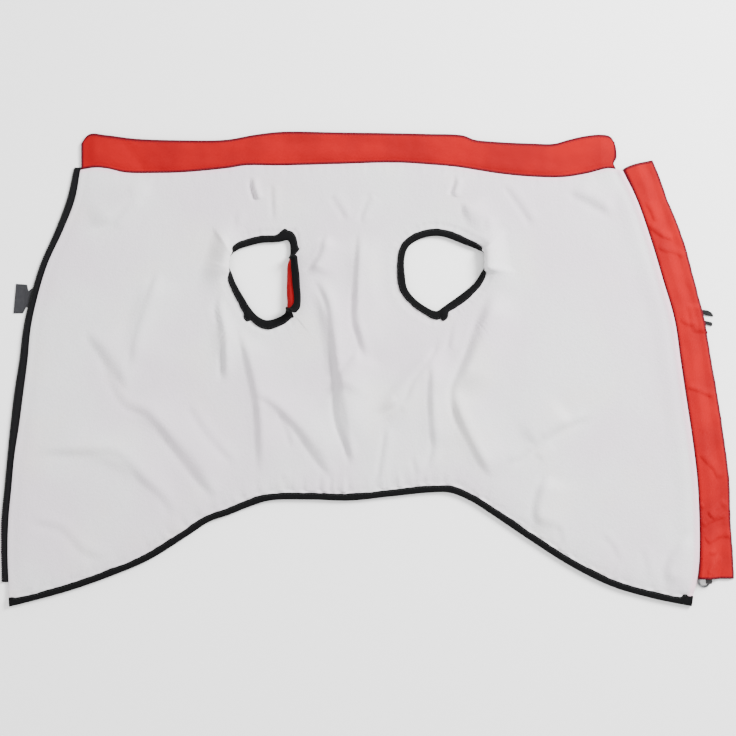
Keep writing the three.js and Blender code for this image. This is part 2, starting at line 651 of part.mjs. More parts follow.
// Black binding round a leg hole, thicker where its ends overlap.
function legBinding({ hole, rays }) {
  const nearest = rays.reduce((best, ray) => (turnOff(ray, hole) < turnOff(best, hole) ? ray : best));
  const sections = rays.map((ray) => bindingSection(EDGE_OUTER, ray === nearest ? JOINT_SWELL : 0)
    .map(([along, up]) => rimPoint(hole, ray, along, up, ray.lift)));
  return sweep(`leg_binding_${hole.name}`, sections, bindingSection(EDGE_OUTER, 0), true, BLACK, 0.8);
}
const turnOff = (ray, hole) => 1 - Math.cos(ray.turn - hole.joint * DEGREE);

// Half a zip: its tape from the seam allowance to the coil along its free edge. The coil stands up beside the
// tape's face by a slope from one to the other.
function zipHalf(name, seamX, freeX, levelAt, from, to) {
  const { width, height, corner, slope, foot } = COIL;
  const rowsAt = (y) => {
    const run = Math.abs(freeX(y) - seamX(y));
    const tapeEnd = run - width - foot;
    return [
      [0, 0, 0], [SEAM_ALLOWANCE, 0, 0], [tapeEnd, 0, 1], [run - corner, 0, 1], [run, height / 2, 1],
      [run - corner, height, 1], [run - width, height, 1], [run - width - slope, TAPE_WALL, 1],
      [tapeEnd, TAPE_WALL, 1], [SEAM_ALLOWANCE, TAPE_WALL, 0], [0, TAPE_WALL, 0],
    ];
  };
  const sections = Array.from({ length: ZIP_STEPS + 1 }, (_, k) => {
    const y = mix(from, to, k / ZIP_STEPS);
    const inner = seamX(y);
    const out = Math.sign(freeX(y) - inner);
    return rowsAt(y).map(([reach, z, share]) => [inner + out * reach, y, TAPE_LEVEL + z + levelAt(y) * share]);
  });
  return sweep(name, sections, rowsAt(from), false, BLACK, 0.7);
}

// Rise of the right zip's coil to the slider, which stands on its own bridge.
const sliderRise = (y) => SLIDER_RISE * (1 - smooth((y - SLIDER.y - SLIDER_EASE.ahead) / SLIDER_EASE.coil));

// Zip guard: a double strip of shell cloth from under the lining's edge, over the right zip, to the floor.
function zipGuard() {
  const coilTop = TAPE_LEVEL + COIL.height + GAP;
  const sliderTop = CHANNEL_MIDDLE + SLIDER.channel / 2 + SLIDER.plate + GAP;
  const last = GUARD_COLUMNS.length - 1;
  const tabs = GUARD_OVER_TABS;
  const tabRise = (y) => (TAB_END.wall + GAP) * smooth((y - tabs.bottom) / tabs.run)
    * smooth((tabs.top - y) / tabs.run);
  const sections = Array.from({ length: ZIP_STEPS + 1 }, (_, k) => {
    const y = mix(GUARD_END, GUARD_TOP, k / ZIP_STEPS);
    const nearSlider = 1 - smooth((y - SLIDER.y - SLIDER_EASE.ahead) / SLIDER_EASE.guard);
    const ridge = mix(coilTop, sliderTop, nearSlider);
    const slant = GUARD_SLANT.rise * smooth((y - GUARD_SLANT.start) / GUARD_SLANT.run);
    const under = GUARD_COLUMNS.map(({ beyond, fromEdge, seam, high }) => {
      const x = fromEdge === null ? rightEdge(y) + beyond : guardEdge(y) - fromEdge;
      const share = (x - rightEdge(y)) / (guardEdge(y) - rightEdge(y));
      const atTabs = smooth((share - tabs.share) / tabs.shareRun);
      const z = seam * GUARD_LEVEL + high * ridge + atTabs * tabRise(y);
      return [x, y + slant * Math.max(0, share), z];
    });
    const over = under.map(([x, yy, z], n) => [x, yy, z + FLAP_WALL * (n === last ? GUARD_LIP : 1)]).reverse();
    const [tipX, tipY, tipZ] = under[last];
    under[last] = [tipX, tipY, tipZ + FLAP_WALL * (1 - GUARD_LIP)];
    return [...under, ...over];
  });
  const columns = GUARD_COLUMNS.map((_, n) => n);
  const flat = [...columns.map((n) => [n, 0]), ...columns.map((n) => [n, 1]).reverse()];
  return sweep('zip_guard', sections, flat, false, RED, 0.85);
}

// Slider: two plates, the wedge between them and the bridge on the floor's side.
function slider() {
  const [w, l] = [SLIDER.width / 2, SLIDER.length / 2];
  const plateOutline = new THREE.Shape([
    ...PLATE_HALF.map(({ across, along }) => new THREE.Vector2(w * across, l * along)),
    ...PLATE_HALF.map(({ across, along }) => new THREE.Vector2(-w * across, l * along)).reverse(),
  ]);
  const plateZ = SLIDER.bar + BRIDGE.room;
  const upperZ = plateZ + SLIDER.plate + SLIDER.channel;
  const plate = (z) => new THREE.ExtrudeGeometry(plateOutline, { depth: SLIDER.plate, bevelEnabled: false })
    .translate(SLIDER.x, SLIDER.y, z);
  const box = (width, length, height, x, y, z) => new THREE.BoxGeometry(width, length, height)
    .translate(x, y, z + height / 2);
  const wedge = box(
    WEDGE.width,
    WEDGE.length,
    SLIDER.channel + 2 * SLIDER.sink,
    SLIDER.x + WEDGE.aside,
    SLIDER.y + WEDGE.ahead,
    plateZ + SLIDER.plate - SLIDER.sink,
  );
  const bridgeY = SLIDER.y - SLIDER.length / 2 + BRIDGE.length / 2;
  const bar = box(BRIDGE.width, BRIDGE.length, SLIDER.bar, SLIDER.x, bridgeY, 0);
  const post = (end) => box(
    BRIDGE.width,
    BRIDGE.post,
    plateZ + SLIDER.sink,
    SLIDER.x,
    bridgeY + (end * (BRIDGE.length - BRIDGE.post)) / 2,
    0,
  );
  const whole = joined([plate(plateZ), plate(upperZ), wedge, bar, post(-1), post(1)]);
  return named('slider', whole, STEEL, 0.4, 0.8);
}

// One solid from several closed shapes that run into each other.
function joined(shapes) {
  const solids = shapes.map((shape) => {
    const bare = shape.clone();
    bare.deleteAttribute('normal');
    bare.deleteAttribute('uv');
    const merged = mergeVertices(bare, 1e-4);
    return new wasm.Manifold(new wasm.Mesh({
      numProp: 3,
      vertProperties: merged.attributes.position.array,
      triVerts: Uint32Array.from(merged.index.array),
    }));
  });
  const mesh = solids.reduce((sum, next) => sum.add(next)).getMesh();
  const geometry = new THREE.BufferGeometry();
  geometry.setAttribute('position', new THREE.BufferAttribute(mesh.vertProperties, 3));
  geometry.setIndex(new THREE.BufferAttribute(mesh.triVerts, 1));
  geometry.computeVertexNormals();
  return geometry;
}

// Ring in the slider's bridge, its far side resting on the floor. Its hinge is where the wire crosses the bridge.
function pullRing() {
  const middle = (RING.outer - RING.wire) / 2;
  const tilt = Math.asin((PIVOT.z - RING.wire / 2 - RING.overFloor) / (2 * middle));
  const ring = new THREE.TorusGeometry(middle, RING.wire / 2, 8, 28)
    .translate(0, -middle, 0)
    .rotateZ(-RING.lean * DEGREE)
    .rotateX(tilt)
    .translate(PIVOT.x, PIVOT.y, PIVOT.z);
  return named('pull_ring', ring, STEEL, 0.35, 0.9);
}

// Box at the zip's lower end that takes the other half's pin.
function retainer() {
  const outline = new THREE.Shape();
  const [w, l] = [RETAINER.width / 2, RETAINER.length / 2];
  outline.moveTo(-w, -l + RETAINER.corner);
  outline.quadraticCurveTo(-w, -l, -w + RETAINER.corner, -l);
  outline.lineTo(w - RETAINER.corner, -l);
  outline.quadraticCurveTo(w, -l, w, -l + RETAINER.corner);
  outline.lineTo(w, l);
  outline.lineTo(-w, l);
  outline.closePath();
  const how = { depth: RETAINER.height, bevelEnabled: false, curveSegments: 3 };
  const box = new THREE.ExtrudeGeometry(outline, how)
    .translate(RETAINER.x, RETAINER.y, CHANNEL_MIDDLE - RETAINER.height / 2);
  return named('retainer_box', box, BLACK, 0.5);
}

// Flared webbing tab that stands out from under the left zip tape.
function sideTab() {
  const { top, bottom, neckTop, neckBottom, depth, flare, lean } = SIDE_TAB;
  const root = (y) => leftEdge(y) + SHELL_INSET - GAP;
  const outer = root((top + bottom) / 2) - depth - SEAM_ALLOWANCE;
  const neck = outer + depth * SIDE_TAB.neck;
  const shape = new THREE.Shape();
  shape.moveTo(root(neckTop), neckTop);
  shape.lineTo(neck, neckTop);
  shape.quadraticCurveTo(neck - flare, neckTop + 1, outer + lean + flare, top - 0.6);
  shape.lineTo(outer + lean, top);
  shape.lineTo(outer, bottom);
  shape.lineTo(outer + SIDE_TAB.sole, bottom);
  shape.quadraticCurveTo(neck - flare, neckBottom - 1, neck, neckBottom);
  shape.lineTo(root(neckBottom), neckBottom);
  shape.closePath();
  const tab = new THREE.ExtrudeGeometry(shape, { depth: SIDE_TAB.wall, bevelEnabled: false, curveSegments: 4 });
  return named('side_tab', tab, GREY);
}

// Narrow webbing end that shows beyond the zip guard's free edge.
function tabEnd({ name, y, show, droop }) {
  const edge = guardEdge(y);
  const half = TAB_END.width / 2;
  const shape = new THREE.Shape();
  shape.moveTo(edge - TAB_END.under, y + half);
  shape.lineTo(edge - TAB_END.under, y - half);
  shape.lineTo(edge, y - half);
  shape.quadraticCurveTo(edge + show * TAB_END.taper, y - half, edge + show, y + droop);
  shape.quadraticCurveTo(edge + show * TAB_END.taper, y + half * TAB_END.taper, edge, y + half);
  shape.closePath();
  const end = new THREE.ExtrudeGeometry(shape, { depth: TAB_END.wall, bevelEnabled: false, curveSegments: 4 });
  return named(name, end, BLACK);
}

const coat = new THREE.Group();
coat.name = 'dog_winter_coat';
coat.add(
  shell(),
  lining(),
  collar(),
  hemBinding(),
  ...windows.map(legBinding),
  zipHalf(
    'zip_left',
    (y) => leftEdge(y) + SEAM_ALLOWANCE,
    (y) => leftEdge(y) - leftTape(y),
    () => 0,
    ZIP_END,
    ZIP_TOP,
  ),
  zipHalf(
    'zip_right',
    (y) => rightEdge(y) - SEAM_ALLOWANCE,
    (y) => rightEdge(y) + RIGHT_TAPE,
    sliderRise,
    RIGHT_ZIP_END,
    RIGHT_ZIP_TOP,
  ),
  zipGuard(),
  slider(),
  pullRing(),
  retainer(),
  sideTab(),
  ...TAB_ENDS.map(tabEnd),
);
coat.position.set(-CENTRE.x, -CENTRE.y, 0);

export default coat;
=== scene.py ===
"""A dog's winter coat, unzipped and laid open on a pale floor with its white fleece lining up.

Lengths are in millimetres in the pattern's own frame until mesh_object() turns them into metres in the row
frame. X runs across the coat, +Y towards the collar and Z up from the floor.
"""

import bpy
import numpy as np
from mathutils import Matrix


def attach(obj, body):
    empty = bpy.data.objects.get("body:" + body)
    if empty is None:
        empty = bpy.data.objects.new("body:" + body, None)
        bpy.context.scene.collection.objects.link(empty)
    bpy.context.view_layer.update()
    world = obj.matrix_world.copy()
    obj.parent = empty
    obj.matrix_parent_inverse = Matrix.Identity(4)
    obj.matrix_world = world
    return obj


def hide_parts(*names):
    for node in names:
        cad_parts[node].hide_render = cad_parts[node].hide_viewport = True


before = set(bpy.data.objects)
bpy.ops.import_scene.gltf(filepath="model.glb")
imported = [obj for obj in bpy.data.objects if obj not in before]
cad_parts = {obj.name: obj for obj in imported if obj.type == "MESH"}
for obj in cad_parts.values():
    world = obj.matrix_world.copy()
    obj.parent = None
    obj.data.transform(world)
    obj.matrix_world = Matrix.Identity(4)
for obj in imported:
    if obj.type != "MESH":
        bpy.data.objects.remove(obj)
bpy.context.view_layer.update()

# Photograph: its width in metres at the floor, and where its middle falls
PHOTO_WIDTH = 0.8096
PHOTO_MIDDLE = (0.0003, 0.00135)
LENS = 85
SENSOR = 36

camera_data = bpy.data.cameras.new("camera")
camera_data.lens = LENS
camera_data.sensor_width = SENSOR
camera = bpy.data.objects.new("camera", camera_data)
camera.location = (*PHOTO_MIDDLE, PHOTO_WIDTH * LENS / SENSOR)
bpy.context.scene.collection.objects.link(camera)
bpy.context.scene.camera = camera

# Cloth and trim
GAP = 0.3
SHELL_WALL = 1.0
FLEECE_WALL = 2.2
FLEECE_SQUEEZED = 1.3
BINDING_WALL = 1.0
BINDING_WIDTH = 8.0
FLAP_WALL = 2.0
TAPE_WALL = 0.8
SEAM_ALLOWANCE = 8.0

# Heights in the stack of layers where an edge is bound
BOUND_SHELL = BINDING_WALL + 1.3 * GAP
LINING_LEVEL = BOUND_SHELL + SHELL_WALL + GAP
BOUND_TOP = LINING_LEVEL + FLEECE_SQUEEZED + 1.3 * GAP + BINDING_WALL

# Middle of the coat's box, which the row frame's origin lies under
CENTRE = np.array([0.8, -0.8, 0.0])

# Seam between the collar band and the lining, x and y from the left front to the right front
NECK_SEAM = (
    (-316, 218), (-300, 220.5), (-287, 219.5), (-266, 215), (-236, 214.5), (-203, 215.3), (-153, 220),
    (-135, 222.8), (-96, 222.8), (-33, 224.4), (30, 226), (66, 224), (98, 221.2), (123, 217.3),
    (144, 214), (177, 210.7), (215, 210), (241, 214), (265, 219.5), (280.5, 216.8),
)

# Folded top edge of the collar band, x and y
COLLAR_TOP = (
    (-316, 244), (-305, 257.5), (-287, 256.5), (-254, 252.5), (-203, 250.8), (-155, 251.4), (-123, 256.9),
    (-93, 260.2), (-35, 259.5), (24, 258.7), (66, 257.8), (105, 256.2), (118, 251.5), (140, 249.2),
    (180, 247.3), (205, 247), (222, 251.5), (239, 255.3), (256, 257), (266, 255.5), (273, 249),
)

# Outer edge of the hem binding, x and y from the left front to the right front
HEM = (
    (-392.7, -261.7), (-371, -256.3), (-327, -244.2), (-283, -228.8), (-239, -210.1), (-195, -182.6),
    (-173, -168.3), (-151, -160.6), (-129, -151.8), (-107, -145.2), (-63, -144.1), (-19, -145.2),
    (25, -140.8), (69, -136.4), (91, -136.6), (113, -145.2), (135, -159), (179, -188.7), (223, -216.7),
    (267, -238.7), (311, -251.9), (356.4, -261.3),
)

# Left front: y, the lining's edge, and how much of the zip tape shows beside it
LEFT_FRONT = np.array((
    (-251.7, -393.2, 7.4), (-234.9, -393.5, 7.5), (-201.9, -394.6, 7.1), (-166.7, -393.6, 7.9),
    (-131.5, -390.3, 7.9), (-96.3, -387, 7.9), (-61.1, -381.7, 9.7), (-25.9, -377.2, 10), (9.4, -372.6, 9.1),
    (44.6, -369, 8.3), (79.8, -361.4, 7.9), (115, -350.6, 7.8), (150.2, -334.5, 8.4), (185.4, -320.8, 8.8),
    (218, -314.6, 7.4),
))

# Right front: y, the lining's edge, and the free edge of the zip guard that lies under it
RIGHT_FRONT = np.array((
    (-250.3, 357.9, 404), (-231.6, 362.1, 403.4), (-210.7, 364.4, 402.6), (-166.7, 364.4, 399.6),
    (-122.7, 362.2, 398.2), (-78.7, 357, 392.7), (-34.7, 350.4, 386.1), (9.4, 343.8, 378.4),
    (53.4, 337.2, 370.7), (97.4, 324.5, 359.7), (141.4, 311.3, 347.6), (185.4, 295.9, 330),
    (216.8, 280.5, 313.5),
))
EDGE_COLUMN = 1
BESIDE_COLUMN = 2

# Leg holes. rows: turn about the centre in degrees, open reach, and roll of the bound edge in degrees, back
# over the lining (plus) or down out of sight (minus). joint: turn at which the binding's ends overlap.
# tail: length of its loose end. corners: turns where the binding stands out on the lining, by how much and
# over what reach. slack: turn, and the cloth between the bend and the binding
LEFT_HOLE = {
    "name": "left",
    "centre": (-115.5, 97.4),
    "joint": 248,
    "tail": 4.4,
    "corners": (
        (66, 7.4, 2.8), (60.8, 3, 3), (55, 1.8, 4.5), (45, 3.2, 5.5), (38.2, 5.4, 2.2), (238, 1.6, 10),
        (272, 2.7, 20), (304, 0.8, 5), (311.6, 5.4, 2.2),
    ),
    "slack": ((-180, 0), (-54, 0), (-46, 4), (-36, 7), (-11, 3), (20, 1.6), (35, 2), (40, 0), (180, 0)),
    "rows": (
        (0, 27.2, 165), (14, 28.3, 163), (25, 30.4, 158), (33.5, 34.4, 142), (36, 36.4, 115),
        (38.5, 39.2, 25), (41, 41.4, 0), (46, 45.2, 0), (52, 50.2, 0), (57.5, 51.8, 0), (62.5, 47.4, 0),
        (73, 43, 0), (90, 40.4, 0), (108, 39.5, 0), (122, 40.8, -15), (132, 42.2, -45), (138, 42.7, -112),
        (147, 41.8, -132), (156, 38.8, -132), (163, 35.8, -98), (171, 32.2, -60), (181, 29.8, -28),
        (192, 27.8, -14), (206, 26.8, -5), (226, 27.8, 0),
        (246, 32.8, 0), (262, 39.4, 0), (276, 44.4, 0), (291, 45, 0), (303, 44.8, 0), (308.5, 43.4, 8),
        (313, 40.2, 112), (316, 38.2, 140), (322, 35, 154), (333, 30.6, 166), (346, 28, 168),
    ),
}
RIGHT_HOLE = {
    "name": "right",
    "centre": (78.1, 102.8),
    "joint": 279,
    "tail": 6.0,
    "corners": ((315, 1.2, 22), (192, 0.9, 14), (264, 1.2, 9), (271, 1, 3)),
    "slack": ((-180, 0), (180, 0)),
    "rows": (
        (0, 45.4, -28), (6, 49, -90), (12, 51.6, -132), (24, 55.4, -132), (28, 53.8, -105), (32, 51.6, -52),
        (38, 48.2, -28), (50, 43.6, -10), (64, 41.8, 0), (80, 42, 0), (98, 43, 0), (120, 44.2, 0),
        (138, 44.6, 0), (156, 40.6, 0), (180, 36.4, 0), (204, 36.9, 0), (228, 36.4, 0), (252, 37.8, 0),
        (262, 39.4, 0), (269, 39.5, 0), (278, 36, 0), (290, 33, 0), (301, 32, 0), (314, 32.2, 0),
        (330, 34.8, 0), (346, 40, -6),
    ),
}

# Largest folds: ends of the crease, its sideways bulge, its crest's rise and how far the far side runs out
FOLDS = (
    ((-142, 178), (-160, -14), -12, 6, 16),
    ((-146, 47), (-121, -118), 8, 5, 20),
    ((-124, -30), (-38, -120), 8, 5, 20),
    ((-50, 148), (-65, 106), 0, 4, 14),
    ((-61, 101), (-21, -106), 5, 8, 24),
    ((-11, 150), (-3, 4), -9, 5, 22),
    ((-10, 22), (-34, -20), 0, 4, 18),
    ((102, 180), (129, 140), -3, 4, 16),
    ((134, 93), (91, -25), 6, 7, 24),
    ((91, -25), (135, -123), -8, 5, 24),
    ((78, 27), (9, -51), -6, 5, 20),
    ((68, 6), (70, -90), -3, 4, 18),
    ((-268, -40), (-166, -144), 10, 5, 24),
    ((-367, -96), (-216, -160), 26, 4, 26),
    ((-309, 35), (-265, -24), 6, 4, 22),
    ((-234, 105), (-262, 3), -8, 4, 24),
    ((-229, 204), (-301, 152), -8, 4, 22),
    ((230, -58), (180, -93), 6, 4, 22),
    ((194, -117), (184, -176), -4, 4, 22),
    ((352, -180), (326, -238), -6, 3, 18),
    ((222, 190), (267, 167), 4, 3, 18),
)
CREST_OFFSET = 8
STEEP_SPREAD = 8
LOFT = 0.4
FOLD_END = 0.25
LIGHT_SIDE = np.array([0.8, 0.6])

# Finer creases, drawn along their dark lines in the photograph: depth and width, then places in pixels
PIXEL = 1.1
PIXEL_ORIGIN = (367, 368.5)
CREASES = (
    (2.8, 2.2, (250.5, 180), (252, 190), (256.3, 202)),
    (2.6, 2.2, (456, 178), (453, 187), (450, 196)),
    (
        2.6, 3.0, (238, 207), (232, 236), (223, 256), (222, 286), (216, 307), (221, 329), (222, 366),
        (221, 384),
    ),
    (1.3, 3.0, (234, 322), (243, 354), (254, 400), (256, 424), (257, 480)),
    (1.2, 3.0, (252, 395), (273, 407), (297, 433), (314, 459), (334, 482)),
    (0.8, 2.8, (278, 412), (286, 432), (291, 448)),
    (1.5, 2.8, (323, 234), (319, 254), (306, 272)),
    (
        2.1, 3.0, (312, 277), (325, 302), (330, 332), (332, 363), (333.5, 396), (335, 420), (346, 450),
        (349, 466),
    ),
    (0.9, 2.8, (330, 196), (338, 208), (346, 222)),
    (0.9, 2.8, (370, 194), (364, 208), (359, 222)),
    (1.5, 3.0, (357, 226), (354, 280), (352, 320), (357, 337), (365, 368)),
    (1.0, 3.0, (358, 346), (346, 361), (340, 370), (335, 390)),
    (1.0, 2.6, (271, 185), (272, 204), (273, 224)),
    (1.5, 2.6, (459, 203), (470, 230), (485, 242)),
    (1.1, 2.4, (484, 218), (485, 230), (486, 240)),
    (1.9, 3.6, (490, 280), (479, 315), (462, 361), (450, 391), (454, 413), (470, 446), (491, 484)),
    (1.0, 2.6, (453, 316), (450, 334), (446, 350)),
    (1.3, 3.2, (439, 340), (429, 359), (414, 378), (401, 402), (373, 417)),
    (1.4, 2.8, (429, 358), (428, 391), (429, 418), (431, 450), (425, 467)),
    (1.1, 3.0, (385, 426), (381, 452), (378, 472), (372, 488)),
    (0.9, 2.6, (411, 457), (415, 472), (418, 487)),
    (0.9, 2.6, (281, 474), (284, 484), (287, 493)),
    (1.4, 3.6, (95, 344), (123, 405), (149, 417), (174, 451), (199, 483), (218, 502)),
    (1.1, 3.8, (31, 457), (75, 455), (116, 456), (141, 480), (161, 499), (173, 518)),
    (1.1, 3.6, (29, 523), (61, 531), (83, 553), (108, 561)),
    (1.0, 3.4, (187, 406), (207, 436), (234, 466)),
    (1.0, 3.6, (84, 333), (106, 364), (128, 394)),
    (1.0, 3.6, (155, 269), (146, 299), (136, 329), (128, 370)),
    (1.0, 3.6, (161, 181), (133, 200), (113, 221), (91, 232)),
    (1.3, 3.6, (593, 417), (557, 434), (531, 453), (510, 467)),
    (1.1, 3.4, (544, 471), (532, 506), (535, 531)),
    (0.8, 2.6, (556, 524), (559, 536), (562, 546)),
    (1.3, 3.4, (689, 528), (666, 557), (662, 588)),
    (1.0, 3.4, (503, 186), (520, 210), (531, 227)),
    (0.9, 3.4, (567, 194), (590, 206), (612, 218)),
    (0.9, 3.0, (462, 268), (466, 290), (462, 312)),
    (0.8, 2.6, (600, 534), (612, 548), (618, 562)),
    (0.8, 2.6, (640, 548), (645, 566), (646, 580)),
)

# Short slanting creases in the zip guard
GUARD_CREASES = (
    (1.0, 2.6, (645, 228), (652, 234), (661, 240), (672, 244)),
    (0.7, 2.4, (655, 250), (663, 254), (674, 256), (681, 261)),
    (0.6, 2.6, (642, 205), (647, 213), (651, 224)),
    (0.8, 2.4, (684, 390), (694, 393), (704, 397), (712, 400)),
    (0.7, 2.6, (677, 322), (684, 327), (696, 330)),
    (1.0, 3.2, (695, 456), (703, 465), (709, 471), (715, 482)),
    (1.1, 3.4, (700, 513), (708, 507), (714, 501), (721, 495)),
    (0.8, 3.2, (704, 530), (715, 523), (727, 520)),
    (1.0, 3.2, (704, 551), (713, 544), (722, 540), (730, 541)),
    (0.8, 3.0, (702, 570), (708, 561), (715, 552)),
)
CREASE_STEPS = 12
CREASE_RIDGE = 0.7
CREASE_SHARE = 1.4
CREASE_END = 0.13
CREASE_FLOOR = -2.4
CREASE_REACH = 6
PUCKER = 2.3
PUCKER_FLOOR = -0.9
PUCKER_LENGTH = 9.5
PUCKER_FADE = 13

# Bound edge of a leg hole: a stretch that can roll, then the stretch inside the binding
BEND = 9.0
EDGE_OUTER = BEND + BINDING_WIDTH
CLOTH_END = EDGE_OUTER - BINDING_WALL - 1.5 * GAP
NEUTRAL = 2.5
FOOT = 24.0
MAX_ROLL = (-134, 170)
HOLE_REACH = 45.0
RIM_REACH = 48.0
WINDOW = (90.0, 94.0)
WINDOW_ROW = 0.72

# Bindings: how far their seam lies from the free edge, how far the fold's round stands out, and how much
# wider the hem's is where it's turned under at the right front and at the left
BINDING_SEAM = 1.7
FOLD_ROUND = 0.55
HEM_STATIONS = 560
HEM_TURNED = 14.0
HEM_TURNED_WIDER = 3.6
HEM_LEFT_END = 9.0
HEM_LEFT_WIDER = 1.8
LEG_STATIONS = 300
TAIL_REACH = 4.2

# Collar band: shares of the seam where it starts and ends, and the length over which its ends lie flatter
COLLAR_SHARES = (0.0035, 0.988)
COLLAR_STATIONS = 440
COLLAR_END = 18.0
COLLAR_UPPER = 26

# Net of the cloth
BOUND_ROW = 9.5
SHELL_FOOT = 18.0
SHELL_INSET = 2.0
EASE = 22.0

# Zip, its slider and the ring that pulls it
COIL_WIDTH = 2.6
COIL_HEIGHT = 1.8
COIL_PITCH = 2.0
COIL_THREAD = 0.3
TAPE_LEVEL = SHELL_WALL + GAP
GUARD_LEVEL = TAPE_LEVEL + TAPE_WALL + GAP
RIGHT_TAPE = 8.0
TAPE_SELVEDGE = 1.1
ZIP_END = -234.9
ZIP_TOP = 217.3
GUARD_END = -231.0
GUARD_TOP = 216.8
GUARD_NUB = 40.0
GUARD_OVER_TABS = (38, 72)
GUARD_SLANT = 12.0
GUARD_SLANT_FROM = 180.0
GUARD_PLEATS = 9.0
SLIDER = (371.5, -226.0)
CHANNEL_MIDDLE = 5.2
RING_OUTER = 14.0
RING_WIRE = 1.9
RING_LEAN = 10.0
RING_PIVOT = (371.5, -228.0, 1.95)

GUARD_RISE = GUARD_LEVEL + FLAP_WALL + GAP - LINING_LEVEL
COIL_TOP = TAPE_LEVEL + COIL_HEIGHT + GAP
SLIDER_TOP = CHANNEL_MIDDLE + 1.2 + 0.8 + GAP
SLIDER_RISE = CHANNEL_MIDDLE - TAPE_LEVEL - COIL_HEIGHT / 2

# Webbing ends at chest height on each front
TAB = {
    "wall": 1.0,
    "top": 93.2,
    "bottom": 60.5,
    "depth": 20.4,
    "lean": 2.9,
    "neck": 8.0,
    "over": ((0, 89), (0.27, 88.4), (0.44, 85.3), (0.53, 92.2), (1, 93.2)),
    "under": ((0, 66), (0.46, 66.6), (0.52, 67.6), (0.63, 60.6), (1, 60.5)),
}
TAB_END_WALL = 1.6
TAB_END_UNDER = 12.0
TAB_ENDS = (
    {
        "name": "tab_end_upper",
        "y": 60.5,
        "show": 11.5,
        "over": ((0, 4.2), (0.5, 3.4), (0.8, 1.4), (1, -1.7)),
        "under": ((0, -0.6), (0.35, -2.3), (1, -3.4)),
    },
    {
        "name": "tab_end_lower",
        "y": 49.5,
        "show": 8.0,
        "over": ((0, 3.1), (0.85, 1.6), (1, 0.8)),
        "under": ((0, -0.6), (0.8, -2.8), (1, -2.6)),
    },
)

METRE = 0.001
CHUNK = 4000


def clamp(value):
    return np.clip(value, 0.0, 1.0)


def smooth(value):
    """s(t) = 3 t^2 - 2 t^3 with t kept from 0 to 1."""
    t = clamp(value)
    return t * t * (3 - 2 * t)


def mix(a, b, share):
    return a + (b - a) * share


def unit(vectors):
    """Each vector of the last axis at length 1."""
    return vectors / np.linalg.norm(vectors, axis=-1, keepdims=True)


def upright(count):
    """The upward normal, count times."""
    return np.tile([0, 0, 1.0], (count, 1))


def turned_from(turns, degrees):
    """Signed angle from a direction in degrees to each turn in radians, the short way round."""
    return np.angle(np.exp(1j * (turns - np.radians(degrees))))


def bump_at(value, middle, reach):
    """exp(-((v - m) / r)^2), a soft rise about one place."""
    return np.exp(-(((value - middle) / reach) ** 2))


def wander(along, wavelength, seed):
    """A slow uneven wave from -1 to 1: the mean of three sines whose lengths don't fit into each other."""
    rng = np.random.default_rng(seed)
    lengths = wavelength * np.array([1.0, 0.618, 1.732])
    phases = rng.uniform(0, 2 * np.pi, 3)
    waves = [np.sin(2 * np.pi * np.asarray(along) / lengths[k] + phases[k]) for k in range(3)]
    return sum(waves) / 3


def ripple(x, y, wavelength, seed):
    """A soft uneven surface from -1 to 1: the mean of five plane sines in different directions."""
    rng = np.random.default_rng(seed)
    total = 0
    for _ in range(5):
        turn, phase = rng.uniform(0, 2 * np.pi, 2)
        step = 2 * np.pi / (wavelength * rng.uniform(0.7, 1.4))
        total = total + np.sin(step * (x * np.cos(turn) + y * np.sin(turn)) + phase)
    return total / 5


def centripetal(points, closed=False, per_span=48):
    """Points on a centripetal Catmull-Rom curve. On each span p(t) is the cubic through its two ends whose
    tangents there come from knots spaced by the square root of the chords."""
    p = np.asarray(points, float)
    if closed:
        p = np.vstack([p[-1:], p, p[:2]])
    else:
        p = np.vstack([2 * p[:1] - p[1:2], p, 2 * p[-1:] - p[-2:-1]])
    p0, p1, p2, p3 = p[:-3], p[1:-2], p[2:-1], p[3:]
    spans = ((p0, p1), (p1, p2), (p2, p3))
    k0, k1, k2 = (np.linalg.norm(b - a, axis=1, keepdims=True) ** 0.5 for a, b in spans)
    m1 = ((p1 - p0) / k0 - (p2 - p0) / (k0 + k1) + (p2 - p1) / k1) * k1
    m2 = ((p2 - p1) / k1 - (p3 - p1) / (k1 + k2) + (p3 - p2) / k2) * k1
    t = np.linspace(0, 1, per_span, endpoint=False)[None, :, None]
    p1, p2, m1, m2 = (a[:, None, :] for a in (p1, p2, m1, m2))
    curve = (2 * t**3 - 3 * t**2 + 1) * p1 + (t**3 - 2 * t**2 + t) * m1
    curve = curve + (3 * t**2 - 2 * t**3) * p2 + (t**3 - t**2) * m2
    curve = curve.reshape(-1, p.shape[1])
    return curve if closed else np.vstack([curve, p[-2:-1]])


class Path:
    """A smooth line through rows of x and y, read by its share of the length from 0 to 1."""

    def __init__(self, rows):
        self.points = centripetal(rows)
        steps = np.linalg.norm(np.diff(self.points, axis=0), axis=1)
        self.length = steps.sum()
        self.shares = np.concatenate([[0], np.cumsum(steps)]) / self.length

    def at(self, share):
        share = clamp(np.asarray(share, float))
        return np.stack([np.interp(share, self.shares, self.points[:, k]) for k in range(2)], axis=-1)

    def distance(self, place, samples=360):
        """Distance of each place from the nearest sample of the line."""
        line = self.at(np.linspace(0, 1, samples))
        flat = place.reshape(-1, 2)
        parts = [
            np.sqrt(((part[:, None, :] - line[None]) ** 2).sum(-1)).min(1)
            for part in np.array_split(flat, len(flat) // CHUNK + 1)
        ]
        return np.concatenate(parts).reshape(place.shape[:-1])


